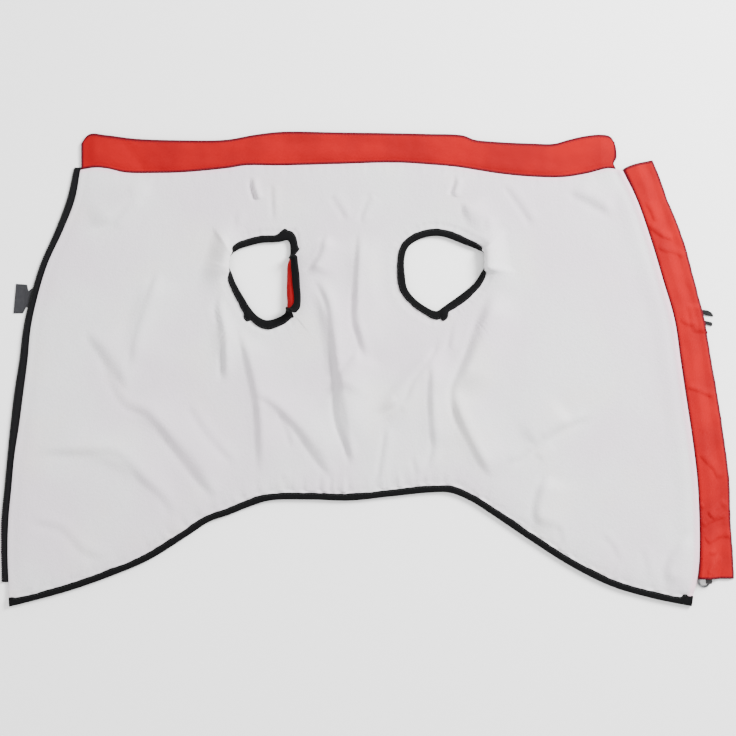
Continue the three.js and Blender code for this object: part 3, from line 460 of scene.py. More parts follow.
def column_at(rows, column, y):
    """The value of a column at height y: a cubic Hermite between rows, with slopes from the rows beside."""
    heights, values = rows[:, 0], rows[:, column]
    last = len(rows) - 2
    i = np.clip(np.searchsorted(heights[1:], y, side="left"), 0, last)
    below, above = np.maximum(i - 1, 0), np.minimum(i + 2, last + 1)
    run = heights[i + 1] - heights[i]
    s = (y - heights[i]) / run
    slope_a = (values[i + 1] - values[below]) / (heights[i + 1] - heights[below]) * run
    slope_b = (values[above] - values[i]) / (heights[above] - heights[i]) * run
    start = (2 * s**3 - 3 * s**2 + 1) * values[i] + (s**3 - 2 * s**2 + s) * slope_a
    return start + (3 * s**2 - 2 * s**3) * values[i + 1] + (s**3 - s**2) * slope_b


neck = Path(NECK_SEAM)
collar_top = Path(COLLAR_TOP)
hem = Path(HEM)
left = Path(LEFT_FRONT[:, [EDGE_COLUMN, 0]])
right = Path(RIGHT_FRONT[:, [EDGE_COLUMN, 0]])


def left_edge(y):
    return column_at(LEFT_FRONT, EDGE_COLUMN, y)


def right_edge(y):
    return column_at(RIGHT_FRONT, EDGE_COLUMN, y)


def guard_edge(y):
    return column_at(RIGHT_FRONT, BESIDE_COLUMN, y)


def from_hem(u, reach):
    """hem(u) + reach n(u), with n the inward normal. Beside the fronts n turns to run along them."""
    here = hem.at(u)
    chord = hem.at(u + 0.02) - hem.at(u - 0.02)
    normal = unit(np.stack([-chord[..., 1], chord[..., 0]], -1))
    left_run = (left.at(0) - hem.at(0)) / BOUND_ROW
    right_run = (right.at(0) - hem.at(1)) / BOUND_ROW
    edge = 0.015
    normal = mix(left_run, normal, clamp(u / edge)[..., None])
    normal = mix(right_run, normal, clamp((1 - u) / edge)[..., None])
    return here + normal * np.asarray(reach)[..., None]


def place(u, v):
    """Coons patch: the blend of the hem's and neck's lines and of the fronts, less that of the corners."""
    b, t, l, r = from_hem(u, BOUND_ROW), neck.at(u), left.at(v), right.at(v)
    u, v = np.asarray(u)[..., None], np.asarray(v)[..., None]
    ends = np.array([0.0, 1.0])
    b0, b1 = from_hem(ends, BOUND_ROW)
    t0, t1 = neck.at(ends)
    corners = (1 - u) * (1 - v) * b0 + u * (1 - v) * b1 + (1 - u) * v * t0 + u * v * t1
    return (1 - v) * b + v * t + (1 - u) * l + u * r - corners


def fold_height(place_xy):
    """Sum over the folds of rise f(s) exp(-(d / w)^2): d is the distance from the crest, w is small on the
    steep side, and f fades the fold in and out along its length."""
    height = 0
    for start, end, bow, rise, spread in FOLDS:
        start, end = np.array(start, float), np.array(end, float)
        run = end - start
        length = np.linalg.norm(run)
        off_xy = place_xy - start
        share = (off_xy @ run) / length**2
        side = np.sign(-run[1] * LIGHT_SIDE[0] + run[0] * LIGHT_SIDE[1])
        across = side * (-off_xy[..., 0] * run[1] + off_xy[..., 1] * run[0]) / length
        off = across - bow * 4 * share * (1 - share) - CREST_OFFSET
        width = np.where(off < 0, STEEP_SPREAD, spread)
        fade = smooth(share / FOLD_END) * smooth((1 - share) / FOLD_END)
        height = height + rise * fade * np.exp(-((off / width) ** 2))
    return height


def crease_height(place_xy, rows):
    """Sum over the creases of depth f(s) (r exp(-((d - 2w) / 1.8w)^2) - exp(-(d / w)^2)): a soft trough along
    the line with a low ridge on its lit side. d is the signed distance from the line."""
    flat = place_xy.reshape(-1, 2)
    height = np.zeros(len(flat))
    for depth, width, *pixels in rows:
        points = (np.array(pixels, float) - PIXEL_ORIGIN) * (PIXEL, -PIXEL)
        line = centripetal(points, per_span=CREASE_STEPS)
        tangent = unit(np.gradient(line, axis=0))
        normal = np.stack([-tangent[:, 1], tangent[:, 0]], -1)
        normal *= np.sign(normal @ LIGHT_SIDE)[:, None]
        reach = CREASE_REACH * width
        low, high = line.min(0) - reach, line.max(0) + reach
        near = np.flatnonzero(((flat > low) & (flat < high)).all(1))
        if not len(near):
            continue
        gap = flat[near][:, None, :] - line[None]
        closest = (gap**2).sum(-1).argmin(1)
        offset = gap[np.arange(len(near)), closest]
        beyond = np.abs((offset * tangent[closest]).sum(-1))
        off = (offset * normal[closest]).sum(-1)
        share = closest / (len(line) - 1)
        fade = smooth(share / CREASE_END) * smooth((1 - share) / CREASE_END)
        fade = fade * bump_at(beyond, 0, width)
        fade = fade * mix(0.75, 1.25, 0.5 + 0.5 * wander(share * 100, 37, len(line)))
        ridge = CREASE_RIDGE * np.exp(-(((off - 2 * width) / (1.8 * width)) ** 2))
        height[near] += depth * fade * (ridge - np.exp(-((off / width) ** 2)))
    return height.reshape(place_xy.shape[:-1])


def pucker_height(place_xy):
    """Gathers where the fleece is caught by the hem binding: a(s) w(s) exp(-(d / r)^2), an uneven wave w of
    uneven strength a that dies out with the distance d from the binding."""
    flat = place_xy.reshape(-1, 2)
    shares = np.linspace(0, 1, 420)
    line = from_hem(shares, BINDING_WIDTH)
    parts = np.array_split(flat, len(flat) // CHUNK + 1)
    closest = np.concatenate([((part[:, None, :] - line[None]) ** 2).sum(-1).argmin(1) for part in parts])
    away = np.linalg.norm(flat - line[closest], axis=1)
    along = shares[closest] * hem.length + 2.5 * wander(flat[:, 0], 60, 4)
    gathers = wander(along, PUCKER_LENGTH, 11) + 0.7 * wander(along, 17, 12)
    strength = 0.55 + 0.45 * wander(along, 85, 13)
    fade = np.exp(-((away / (PUCKER_FADE + 6 * wander(along, 40, 14))) ** 2)) * smooth(away / 3)
    return np.maximum(PUCKER * gathers * strength * fade, PUCKER_FLOOR).reshape(place_xy.shape[:-1])


def edge_share(place_xy):
    """1 in the open lining and 0 along its seams, so that the cloth keeps its level there."""
    share = 1
    for line in (left, right, neck, hem_line):
        share = share * smooth(line.distance(place_xy) / EASE)
    return share


def lining_level(place_xy):
    """Height of the lining's underside: its level at the seams, plus folds, creases and soft swells, plus the
    rise over the zip guard."""
    share = edge_share(place_xy)
    beside = right.distance(place_xy)
    over_guard = smooth((place_xy[..., 1] - GUARD_END + 18) / 8)
    over_guard = over_guard * (1 - smooth((beside - SEAM_ALLOWANCE) / EASE))
    swell = 0.35 * ripple(place_xy[..., 0], place_xy[..., 1], 70, 21)
    swell = swell + 0.12 * ripple(place_xy[..., 0], place_xy[..., 1], 22, 22)
    folds = fold_height(place_xy) + CREASE_SHARE * np.maximum(crease_height(place_xy, CREASES), CREASE_FLOOR)
    return LINING_LEVEL + share * (LOFT + 0.5 + folds + swell) + GUARD_RISE * over_guard


hem_line = Path(from_hem(np.linspace(0, 1, 60), BOUND_ROW))


def rolled(along, up, roll):
    """Where a point of the flat stack goes when its edge rolls by an angle a over the length BEND. The
    neutral height N lies on an arc of radius R = BEND / a. A point h above it, a share s of the way along,
    goes to (R - h) sin(a s) and z = N + R - (R - h) cos(a s)."""
    angle = np.radians(np.where(np.abs(roll) < 0.5, 0.5, roll))
    radius = BEND / angle
    turned = angle * clamp(along / BEND)
    straight = np.maximum(0, along - BEND)
    arm = radius - (up - NEUTRAL)
    to_hole = np.minimum(0, along) + arm * np.sin(turned) + straight * np.cos(angle)
    z = NEUTRAL + radius - arm * np.cos(turned) + straight * np.sin(angle)
    flat = np.abs(roll) < 0.5
    return np.where(flat, along, to_hole), np.where(flat, up, z)


def rim(hole, turns):
    """Roll, start and lift of a leg hole's edge in each direction, given in radians. start is the reach at
    which the bound edge begins and lift brings its lowest point up to the floor."""
    rows = np.array(hole["rows"], float)
    turn = np.radians(rows[:, 0])
    points = np.stack([rows[:, 1] * np.cos(turn), rows[:, 1] * np.sin(turn), rows[:, 2]], -1)
    samples = centripetal(points, closed=True)
    angles = np.arctan2(samples[:, 1], samples[:, 0])
    apart = np.abs(np.angle(np.exp(1j * (angles[None] - turns[:, None]))))
    nearest = samples[apart.argmin(1)]
    roll = np.clip(nearest[:, 2], *MAX_ROLL)
    reach = np.hypot(nearest[:, 0], nearest[:, 1])
    leg = EDGE_OUTER - BINDING_WIDTH
    outline = [(leg, 0), (EDGE_OUTER - 0.8, 0), (EDGE_OUTER, 1), (EDGE_OUTER, BOUND_TOP - 1)]
    outline += [(EDGE_OUTER - 0.8, BOUND_TOP), (leg, BOUND_TOP)]
    outline += [(t, up) for t in (0, 3, 6, BEND) for up in (0, 1)]
    spots = [rolled(np.full_like(roll, along), up, roll) for along, up in outline]
    start = reach + np.max([to_hole for to_hole, _ in spots], axis=0)
    lift = np.maximum(0, -np.min([z for _, z in spots], axis=0))
    slack = np.interp(np.degrees(turns), *zip(*hole["slack"]))
    return {"hole": hole, "turns": turns, "roll": roll, "start": start, "lift": lift, "slack": slack}


def rim_points(rays, along, up, extra):
    """Points of a leg hole's edge on every ray. along, up and extra have a row for each ray."""
    along = along + rays["slack"][:, None] * smooth(along / BEND)
    to_hole, z = rolled(along, up, rays["roll"][:, None])
    reach = rays["start"][:, None] - to_hole
    turn = rays["turns"][:, None]
    x, y = rays["hole"]["centre"]
    return np.stack([x + reach * np.cos(turn), y + reach * np.sin(turn), z + extra], -1)


def mesh_object(name, points, faces, uv=None, values=None):
    """A smooth-shaded mesh from points in the pattern's millimetres. uv is a pair for each point in metres,
    and values holds other numbers for each point by name."""
    mesh = bpy.data.meshes.new(name)
    mesh.from_pydata(((np.asarray(points) - CENTRE) * METRE).tolist(), [], faces)
    mesh.validate()
    mesh.shade_smooth()
    if uv is not None:
        corners = np.empty(len(mesh.loops), np.int32)
        mesh.loops.foreach_get("vertex_index", corners)
        layer = mesh.uv_layers.new(name="cloth")
        layer.data.foreach_set("uv", np.asarray(uv, np.float32)[corners].ravel())
    for key, numbers in (values or {}).items():
        attribute = mesh.attributes.new(key, "FLOAT", "POINT")
        attribute.data.foreach_set("value", np.asarray(numbers, np.float32).ravel())
    obj = bpy.data.objects.new(name, mesh)
    bpy.context.scene.collection.objects.link(obj)
    return obj


def grid_faces(rows, columns, wrap=False):
    """Quads of a grid numbered row by row. wrap joins the last row to the first."""
    index = np.arange(rows * columns).reshape(rows, columns)
    if wrap:
        index = np.vstack([index, index[:1]])
    a, b, c, d = index[:-1, :-1], index[:-1, 1:], index[1:, 1:], index[1:, :-1]
    return np.stack([a, b, c, d], -1).reshape(-1, 4)


def walled(top, bottom, faces):
    """Closed wall between a top and a bottom layer of points: both, and a strip along each free edge."""
    count = len(top)
    edges = np.concatenate([faces[:, [k, (k + 1) % 4]] for k in range(4)])
    keys = edges[:, 0] * count + edges[:, 1]
    back = edges[:, 1] * count + edges[:, 0]
    free = edges[~np.isin(keys, back)]
    strip = np.stack([free[:, 1], free[:, 0], free[:, 0] + count, free[:, 1] + count], -1)
    points = np.vstack([top, bottom])
    return points, np.concatenate([faces, faces[:, ::-1] + count, strip])


def cloth_strip(name, middle, wall, closed=False, edge=None):
    """A strip of cloth round a middle surface, given as rows of points along its length. Each side lies half
    a wall from it along the surface's normal n = (dp/dt x dp/ds) / |dp/dt x dp/ds|, with rounded lips."""
    middle = np.asarray(middle, float)
    rows, columns = middle.shape[:2]
    if closed:
        wide = np.concatenate([middle[-1:], middle, middle[:1]])
        down = np.gradient(wide, axis=0)[1:-1]
    else:
        down = np.gradient(middle, axis=0)
    across = np.gradient(middle, axis=1)
    normal = unit(np.cross(across, down))
    thickness = np.broadcast_to(np.asarray(wall, float), (rows, columns)).copy()
    thickness[:, [0, -1]] *= 0.45
    thickness[:, [1, -2]] *= 0.85
    half = normal * thickness[..., None] / 2
    steps = np.linalg.norm(np.diff(middle, axis=0), axis=-1).mean(1)
    along = np.concatenate([[0], np.cumsum(steps)])
    side = np.concatenate([[0], np.cumsum(np.linalg.norm(np.diff(middle, axis=1), axis=-1).mean(0))])
    uv = np.stack(np.meshgrid(along, side, indexing="ij"), -1).reshape(-1, 2) * METRE
    faces = grid_faces(rows, columns, closed)
    points, faces = walled((middle + half).reshape(-1, 3), (middle - half).reshape(-1, 3), faces)
    values = None
    if edge is not None:
        near = np.broadcast_to(np.asarray(edge, float), (rows, columns)).reshape(-1) * METRE
        values = {"edge": np.tile(near, 2)}
    return mesh_object(name, points, faces.tolist(), np.tile(uv, (2, 1)), values)


def tube_faces(rings, sides, count, wrap=False):
    """Quads round count tubes of rings by sides points each."""
    ring = np.arange(rings if wrap else rings - 1)
    side = np.arange(sides)
    r, s = np.meshgrid(ring, side, indexing="ij")
    r2, s2 = (r + 1) % rings, (s + 1) % sides
    one = np.stack([r * sides + s, r * sides + s2, r2 * sides + s2, r2 * sides + s], -1).reshape(-1, 4)
    return (one[None] + (np.arange(count) * rings * sides)[:, None, None]).reshape(-1, 4)


STITCH_PITCH = 3.4
STITCH_SHARE = 0.78
STITCH_RADIUS = 0.26


def stitches(name, line, up):
    """A row of lock stitches along a line. Each is a short thread whose height is r sin(pi t) and whose
    thickness is r (sin(pi t))^(1/2), so that both ends dive into the cloth. up holds the surface's normal."""
    line, up = np.asarray(line, float), np.asarray(up, float)
    steps = np.linalg.norm(np.diff(line, axis=0), axis=1)
    along = np.concatenate([[0], np.cumsum(steps)])
    count = int(along[-1] / STITCH_PITCH)
    rings, sides = 7, 6
    t = np.linspace(0.02, 0.98, rings)
    rng = np.random.default_rng(len(line))
    wobble = rng.uniform(-0.06, 0.06, (count, 1))
    at = (np.arange(count)[:, None] + 0.5 + STITCH_SHARE * (t[None] - 0.5) + wobble) * STITCH_PITCH
    centre = np.stack([np.interp(at, along, line[:, k]) for k in range(3)], -1)
    normal = unit(np.stack([np.interp(at, along, up[:, k]) for k in range(3)], -1))
    tangent = unit(np.gradient(centre, axis=1))
    beside = np.cross(normal, tangent)
    arch = np.sin(np.pi * t)[None, :, None]
    centre = centre + normal * (arch * 1.1 - 0.5) * STITCH_RADIUS
    turn = np.linspace(0, 2 * np.pi, sides, endpoint=False)
    around = np.cos(turn)[:, None] * beside[:, :, None, :] + np.sin(turn)[:, None] * normal[:, :, None, :]
    points = centre[:, :, None, :] + around * (STITCH_RADIUS * arch**0.5)[..., None]
    faces = tube_faces(rings, sides, count).tolist()
    caps = np.arange(count)[:, None] * rings * sides + np.arange(sides)[None]
    faces += caps[:, ::-1].tolist() + (caps + (rings - 1) * sides).tolist()
    return mesh_object(name, points.reshape(-1, 3), faces)


def net(columns, rows, hem_reaches):
    """The cloth's net: shares across and along, with hem rows before the first, and a window round each leg
    hole whose loop of grid points the hole's rays go to."""
    i_count, j_count = len(columns), len(rows)
    u, v = np.meshgrid(columns, rows)
    grid = place(u, v)
    hem_rows = [from_hem(columns, reach) for reach in hem_reaches]
    points = np.concatenate([np.array(hem_rows), grid])
    skip = len(hem_reaches)
    index = np.arange(points.shape[0] * i_count).reshape(points.shape[0], i_count)
    keep = np.ones((points.shape[0] - 1, i_count - 1), bool)
    loops = []
    for hole in (LEFT_HOLE, RIGHT_HOLE):
        x, y = hole["centre"]
        middle = np.abs(rows - WINDOW_ROW).argmin()
        i0 = np.flatnonzero(grid[middle, :, 0] < x - WINDOW[0]).max()
        i1 = np.flatnonzero(grid[middle, :, 0] > x + WINDOW[0]).min()
        centre = (i0 + i1) // 2
        j0 = np.flatnonzero(grid[:, centre, 1] < y - WINDOW[1]).max() + skip
        j1 = np.flatnonzero(grid[:, centre, 1] > y + WINDOW[1]).min() + skip
        keep[j0:j1, i0:i1] = False
        loop = np.concatenate([
            index[j0, i0:i1], index[j0:j1, i1], index[j1, i1:i0:-1], index[j1:j0:-1, i0],
        ])
        around = points.reshape(-1, 2)[loop] - hole["centre"]
        loops.append({"loop": loop, **rim(hole, np.arctan2(around[:, 1], around[:, 0]))})
    a, b, c, d = index[:-1, :-1][keep], index[:-1, 1:][keep], index[1:, 1:][keep], index[1:, :-1][keep]
    return points.reshape(-1, 2), np.stack([a, b, c, d], -1), loops


def edged(count, length, steps):
    """Shares from 0 to 1, evenly spaced but for the steps in millimetres beside each end."""
    near = np.array(steps) / length
    middle = np.linspace(near[-1], 1 - near[-1], count)[1:-1]
    return np.concatenate([near, middle, 1 - near[::-1]])


def ring_faces(loop, first, rings):
    """Quads from a loop of points inwards through rings numbered from first."""
    size = len(loop)
    rows = np.vstack([loop, first + np.arange(rings * size).reshape(rings, size)])
    a, d = rows[:-1], rows[1:]
    b, c = np.roll(a, -1, axis=1), np.roll(d, -1, axis=1)
    return np.stack([a, b, c, d], -1).reshape(-1, 4)


def used_only(points, faces):
    """The points that faces use, and the faces with their new numbers."""
    used = np.unique(faces)
    number = np.zeros(len(points[0]), int)
    number[used] = np.arange(len(used))
    return [layer[used] for layer in points], number[faces]


FLAT_RINGS = 14
NET_DRAWN_IN = 0.3
LINING_LOWEST = SHELL_WALL + GAP + 0.05
FOOT_ALONG = np.array([
    -24, -20.5, -17, -13.5, -10, -7, -4.5, -2.2, 0, 1.5, 3, 4.5, 6, 7.5, 9, 11.2, 13.4, CLOTH_END,
])
LINING_NET = (268, 118)
SHELL_NET = (110, 52)
SEAM_STEPS = (0, 0.5, 1.3, 2.6, 4.5, 7)
HEM_ROWS = (BINDING_WALL + GAP, 5.0)


def lining():
    """Fleece lining: the net between the seams, and rings that roll with each leg hole's bound edge."""
    columns = edged(LINING_NET[0], hem.length, SEAM_STEPS)
    columns = columns + NET_DRAWN_IN * np.sin(2 * np.pi * columns) / (2 * np.pi)
    rows = edged(LINING_NET[1], right.length, SEAM_STEPS)
    flat, faces, loops = net(columns, rows, HEM_ROWS)
    bottoms, tops = [], []
    from_left, from_right, from_neck = (line.distance(flat) for line in (left, right, neck))
    beside = np.min([from_left, from_right, from_neck], axis=0)
    lip = np.sqrt(1 - (1 - clamp((beside + 0.25) / 1.6)) ** 2)
    in_hem = np.zeros(len(flat))
    in_hem[: 3 * len(columns)] = 1
    from_binding = hem_line.distance(flat)
    puffed = np.maximum(in_hem, 1 - smooth(from_binding / 8))
    wall = mix(FLEECE_WALL, FLEECE_SQUEEZED, np.maximum(puffed, 1 - smooth(beside / 10)))
    bead = 0.9 * bump_at(from_right, 3.2, 2.6) - 0.5 * bump_at(from_right, 8.5, 2.6)
    bead = bead + 0.5 * bump_at(from_left, 3, 2.2) - 0.25 * bump_at(from_left, 7, 2.5)
    bead = bead + 0.4 * bump_at(from_neck, 3, 2.2)
    bead = bead + 0.35 * wander(NECK_SEAM[0][0] + flat[:, 0], 13, 31) * bump_at(from_neck, 4, 6)
    gathers = pucker_height(flat) * (1 - in_hem)
    level = np.where(in_hem > 0, LINING_LEVEL, lining_level(flat))
    top = level + wall * np.where(in_hem > 0, 1, lip) + (bead + gathers) * (1 - in_hem)
    bottoms.append(np.column_stack([flat, np.maximum(level, LINING_LOWEST)]))
    tops.append(np.column_stack([flat, top]))
    count = len(flat)
    for rays in loops:
        size = len(rays["loop"])
        origin = flat[rays["loop"]]
        foot = rim_points(rays, np.full((size, 1), -FOOT), 0.0, 0.0)[:, 0, :2]
        shares = np.linspace(0, 1, FLAT_RINGS + 1)[1:-1]
        between = mix(origin[None], foot[None], shares[:, None, None]).reshape(-1, 2)
        level = lining_level(between)
        bottoms.append(np.column_stack([between, np.maximum(level, LINING_LOWEST)]))
        tops.append(np.column_stack([between, level + FLEECE_WALL]))
        along = np.broadcast_to(FOOT_ALONG, (size, len(FOOT_ALONG)))
        outside = smooth(-along / FOOT)
        spots = rim_points(rays, along, 0.0, 0.0)[..., :2]
        raised = outside * (lining_level(spots) - LINING_LEVEL)
        extra = rays["lift"][:, None] * (1 - outside) + raised
        wall = mix(FLEECE_WALL, FLEECE_SQUEEZED, smooth(along * 2 / BEND))
        caught = bump_at(along, 5, 5)
        round_hole = rays["turns"][:, None] * HOLE_REACH
        gather = 0.35 * caught * wander(np.broadcast_to(round_hole, along.shape), 9, 33)
        upper = rim_points(rays, along, LINING_LEVEL + wall + gather, extra)
        lower = rim_points(rays, along, LINING_LEVEL, extra)
        bottoms.append(lower.transpose(1, 0, 2).reshape(-1, 3))
        tops.append(upper.transpose(1, 0, 2).reshape(-1, 3))
        rings = len(shares) + len(FOOT_ALONG)
        faces = np.concatenate([faces, ring_faces(rays["loop"], count, rings)])
        count += rings * size
    (top, bottom), faces = used_only([np.concatenate(tops), np.concatenate(bottoms)], faces)
    # Distance from the right front and the neck seam, for painted reflection: the fleece material tints
    # itself pink near the red guard and collar, standing in for light bounced off the red cloth
    beside = np.minimum(right.distance(top[:, :2]), neck.distance(top[:, :2]) + 3) * METRE
    points, faces = walled(top, bottom, faces)
    return mesh_object("fleece_lining", points, faces.tolist(), values={"edge": np.tile(beside, 2)})


def outer_shell():
    """Red shell under the lining: on the floor, raised where a binding wraps its edge."""
    columns = edged(SHELL_NET[0], hem.length, (0, 4))
    rows = edged(SHELL_NET[1], right.length, (0, 4, 8.5))
    flat, faces, loops = net(columns, rows, HEM_ROWS)
    flat = flat.copy()
    width = len(columns)
    flat[::width, 0] += SHELL_INSET
    flat[width - 1 :: width, 0] -= SHELL_INSET
    flat[-width:, 1] -= GAP / 2
    away = hem_line.distance(flat)
    level = BOUND_SHELL * (1 - smooth(away / (SHELL_FOOT - BOUND_ROW)))
    level[: 3 * width] = BOUND_SHELL
    bottoms = [np.column_stack([flat, level])]
    tops = [np.column_stack([flat, level + SHELL_WALL])]
    count = len(flat)
    for rays in loops:
        size = len(rays["loop"])
        along = np.broadcast_to(FOOT_ALONG, (size, len(FOOT_ALONG)))
        up = BOUND_SHELL * smooth(along / BEND)
        lift = rays["lift"][:, None] * (1 - smooth(-along / FOOT))
        tops.append(rim_points(rays, along, up + SHELL_WALL, lift).transpose(1, 0, 2).reshape(-1, 3))
        bottoms.append(rim_points(rays, along, up, lift).transpose(1, 0, 2).reshape(-1, 3))
        faces = np.concatenate([faces, ring_faces(rays["loop"], count, len(FOOT_ALONG))])
        count += len(FOOT_ALONG) * size
    (top, bottom), faces = used_only([np.concatenate(tops), np.concatenate(bottoms)], faces)
    points, faces = walled(top, bottom, faces)
    return mesh_object("outer_shell", points, faces.tolist())


def binding_middle(leg_top, leg_bottom, outer, swell):
    """Middle line of a binding's section: along the lower leg, round the fold and back along the upper leg.
    Rows are stations. Returns along and up."""
    half = BINDING_WALL / 2
    radius = (BOUND_TOP - BINDING_WALL) / 2
    fold = outer - half - radius * FOLD_ROUND
    t = np.linspace(0, 1, 6)[None]
    lower_along = mix(leg_bottom, fold, t)
    turn = np.linspace(-np.pi / 2, np.pi / 2, 9)[None, 1:-1]
    fold_along = fold + radius * FOLD_ROUND * np.cos(turn)
    fold_up = half + radius + radius * np.sin(turn) + 0 * leg_top
    t = np.linspace(0, 1, 10)[None]
    upper_along = mix(fold, leg_top, t)
    upper_up = BOUND_TOP - half + swell * np.sin(np.pi * t) + 0 * leg_top
    along = np.concatenate([lower_along, fold_along + 0 * leg_top, upper_along], 1)
    up = np.concatenate([np.full_like(lower_along, half), fold_up, upper_up], 1)
    return along, up


def hem_binding():
    """Black binding folded round the hem, its upper leg uneven where the fleece puckers."""
    u = np.linspace(0, 1, HEM_STATIONS)
    s = u * hem.length
    from_right = hem.length - s
    wobble = 0.3 * wander(s, 15, 41) + 0.5 * wander(s, 58, 42)
    narrowing = 0.15 * np.maximum(0, HEM_TURNED - 2 - from_right)
    ends = smooth((HEM_TURNED - from_right) / 3) * (HEM_TURNED_WIDER - narrowing)
    ends = ends + HEM_LEFT_WIDER * smooth((HEM_LEFT_END - s) / 5)
    leg_top = (0.2 + wobble - ends)[:, None]
    swell = (0.3 + 0.25 * wander(s, 14, 43))[:, None]
    along, up = binding_middle(leg_top, np.zeros((len(u), 1)), BINDING_WIDTH, swell)
    flat = from_hem(np.broadcast_to(u[:, None], along.shape), BINDING_WIDTH - along)
    strip = cloth_strip("binding_hem", np.concatenate([flat, up[..., None]], -1), BINDING_WALL)
    seam = from_hem(u, BINDING_WIDTH - leg_top[:, 0] - BINDING_SEAM)
    thread = np.column_stack([seam, np.full(len(u), BOUND_TOP) + 0.5 * swell[:, 0]])
    return strip, stitches("binding_hem_stitches", thread[3:-3], upright(len(u) - 6))


def leg_binding(hole):
    """Black binding round a leg hole. Its end overlaps its start at the joint, where a tail stands out on the
    fleece."""
    turns = np.linspace(-np.pi, np.pi, LEG_STATIONS, endpoint=False)
    rays = rim(hole, turns)
    kernel = np.array([1, 2, 3, 2, 1]) / 9
    for key in ("roll", "start", "lift", "slack"):
        padded = np.concatenate([rays[key][-2:], rays[key], rays[key][:2]])
        rays[key] = np.convolve(padded, kernel, "valid")
    s = turns * RIM_REACH
    from_joint = turned_from(turns, hole["joint"]) * HOLE_REACH
    tail = np.exp(-((from_joint / TAIL_REACH) ** 4))
    leg_top = BEND + 0.3 * wander(s, 13, 51) - hole["tail"] * tail
    for turn, rise, reach in hole["corners"]:
        leg_top = leg_top - rise * bump_at(turned_from(turns, turn) * HOLE_REACH, 0, reach)
    leg_top = leg_top[:, None]
    leg_bottom = np.full_like(leg_top, BEND)
    swell = (0.3 + 0.2 * wander(s, 15, 52) + 0.9 * tail)[:, None]
    along, up = binding_middle(leg_top, leg_bottom, EDGE_OUTER, swell)
    middle = rim_points(rays, along, up, rays["lift"][:, None])
    strip = cloth_strip(f"binding_leg_{hole['name']}", middle, BINDING_WALL, closed=True)
    seam_along = leg_top + BINDING_SEAM
    lift = rays["lift"][:, None]
    seam = rim_points(rays, seam_along, BOUND_TOP + 0.5 * swell, lift)[:, 0]
    below = rim_points(rays, seam_along, BOUND_TOP - 1 + 0.5 * swell, lift)[:, 0]
    row = np.arange(len(turns) + 1) % len(turns)
    return strip, stitches(f"binding_leg_{hole['name']}_stitches", seam[row], (seam - below)[row])


def collar():
    """Collar band: a strip folded along its top edge, with soft swells in its upper leg but at the ends."""
    u = np.linspace(*COLLAR_SHARES, COLLAR_STATIONS)
    seam = neck.at(u) + (0, GAP / 2)
    s = (u - u[0]) * neck.length
    depth = np.interp(seam[:, 0], collar_top.points[:, 0], collar_top.points[:, 1]) - seam[:, 1]
    end = np.maximum(1 - smooth(s / COLLAR_END), smooth((s - s[-1] + COLLAR_END) / COLLAR_END))
    low = mix(LINING_LEVEL + FLEECE_SQUEEZED, 2 * SHELL_WALL + GAP, end)
    high = mix(LINING_LEVEL + FLEECE_SQUEEZED + 0.8, 2 * SHELL_WALL + GAP + 0.4, end)
    high = high + (0.35 * wander(s, 95, 61) + 0.2) * (1 - end)
    half = SHELL_WALL / 2
    radius = (high - SHELL_WALL) / 2
    fold = (depth - half - radius * 0.7)[:, None]
    t = np.linspace(0, 1, 12)[None]
    lower = np.stack([fold * t, np.full_like(fold * t, half)], -1)
    turn = np.linspace(-np.pi / 2, np.pi / 2, 9)[None, 1:-1]
    wide = radius[:, None]
    arc = np.stack([fold + 0.7 * wide * np.cos(turn), half + wide * (1 + np.sin(turn))], -1)
    t = np.linspace(0, 1, COLLAR_UPPER)[None]
    reach = fold * (1 - t)
    upper_z = mix(high[:, None], low[:, None], smooth((t - 0.6) / 0.4)) - half
    body = smooth(t / 0.15) * smooth((1 - t) / 0.12)
    creases = 0.45 * ripple(s[:, None], reach * 2.4, 58, 62) + 0.15 * ripple(s[:, None], reach * 1.6, 19, 63)
    trough = -0.5 * bump_at(t, 0.9, 0.05) * (1 - end[:, None])
    sagging = -1.1 * bump_at(s[:, None] - 46 - 26 * t, 0, 9) * body
    upper_z = upper_z + (creases + 0.15) * body * (1 - 0.7 * end[:, None]) + trough + sagging * 0.6
    upper = np.stack([reach, upper_z], -1)
    section = np.concatenate([lower, arc, upper], 1)
    x = np.broadcast_to(seam[:, None, 0], section.shape[:2]).copy()
    share = section[..., 0] / depth[:, None]
    last = smooth((s - s[-1] + 6) / 6)[:, None]
    notch = -2.6 * bump_at(share, 0.22, 0.12) + 0.8 * bump_at(share, 0.5, 0.2)
    x += last * (notch - 1.5 * smooth((share - 0.75) / 0.25))
    middle = np.stack([x, seam[:, None, 1] + section[..., 0], section[..., 1]], -1)
    # Distance to the band's edges and ends, which the red material darkens as painted shade
    to_edge = np.minimum(section[..., 0] + 0.4, depth[:, None] - section[..., 0])
    to_end = np.minimum(s, s[-1] - s)[:, None] + 0.3
    band = cloth_strip("collar", middle, SHELL_WALL, edge=np.minimum(to_edge, to_end))
    rows = []
    for name, share_across in (("seam", 0.955), ("fold", 0.05)):
        k = section.shape[1] - COLLAR_UPPER + int(round(share_across * (COLLAR_UPPER - 1)))
        line = middle[6:-6, k] + (0, 0, half)
        rows.append(stitches(f"collar_{name}_stitches", line, upright(len(line))))
    return band, rows


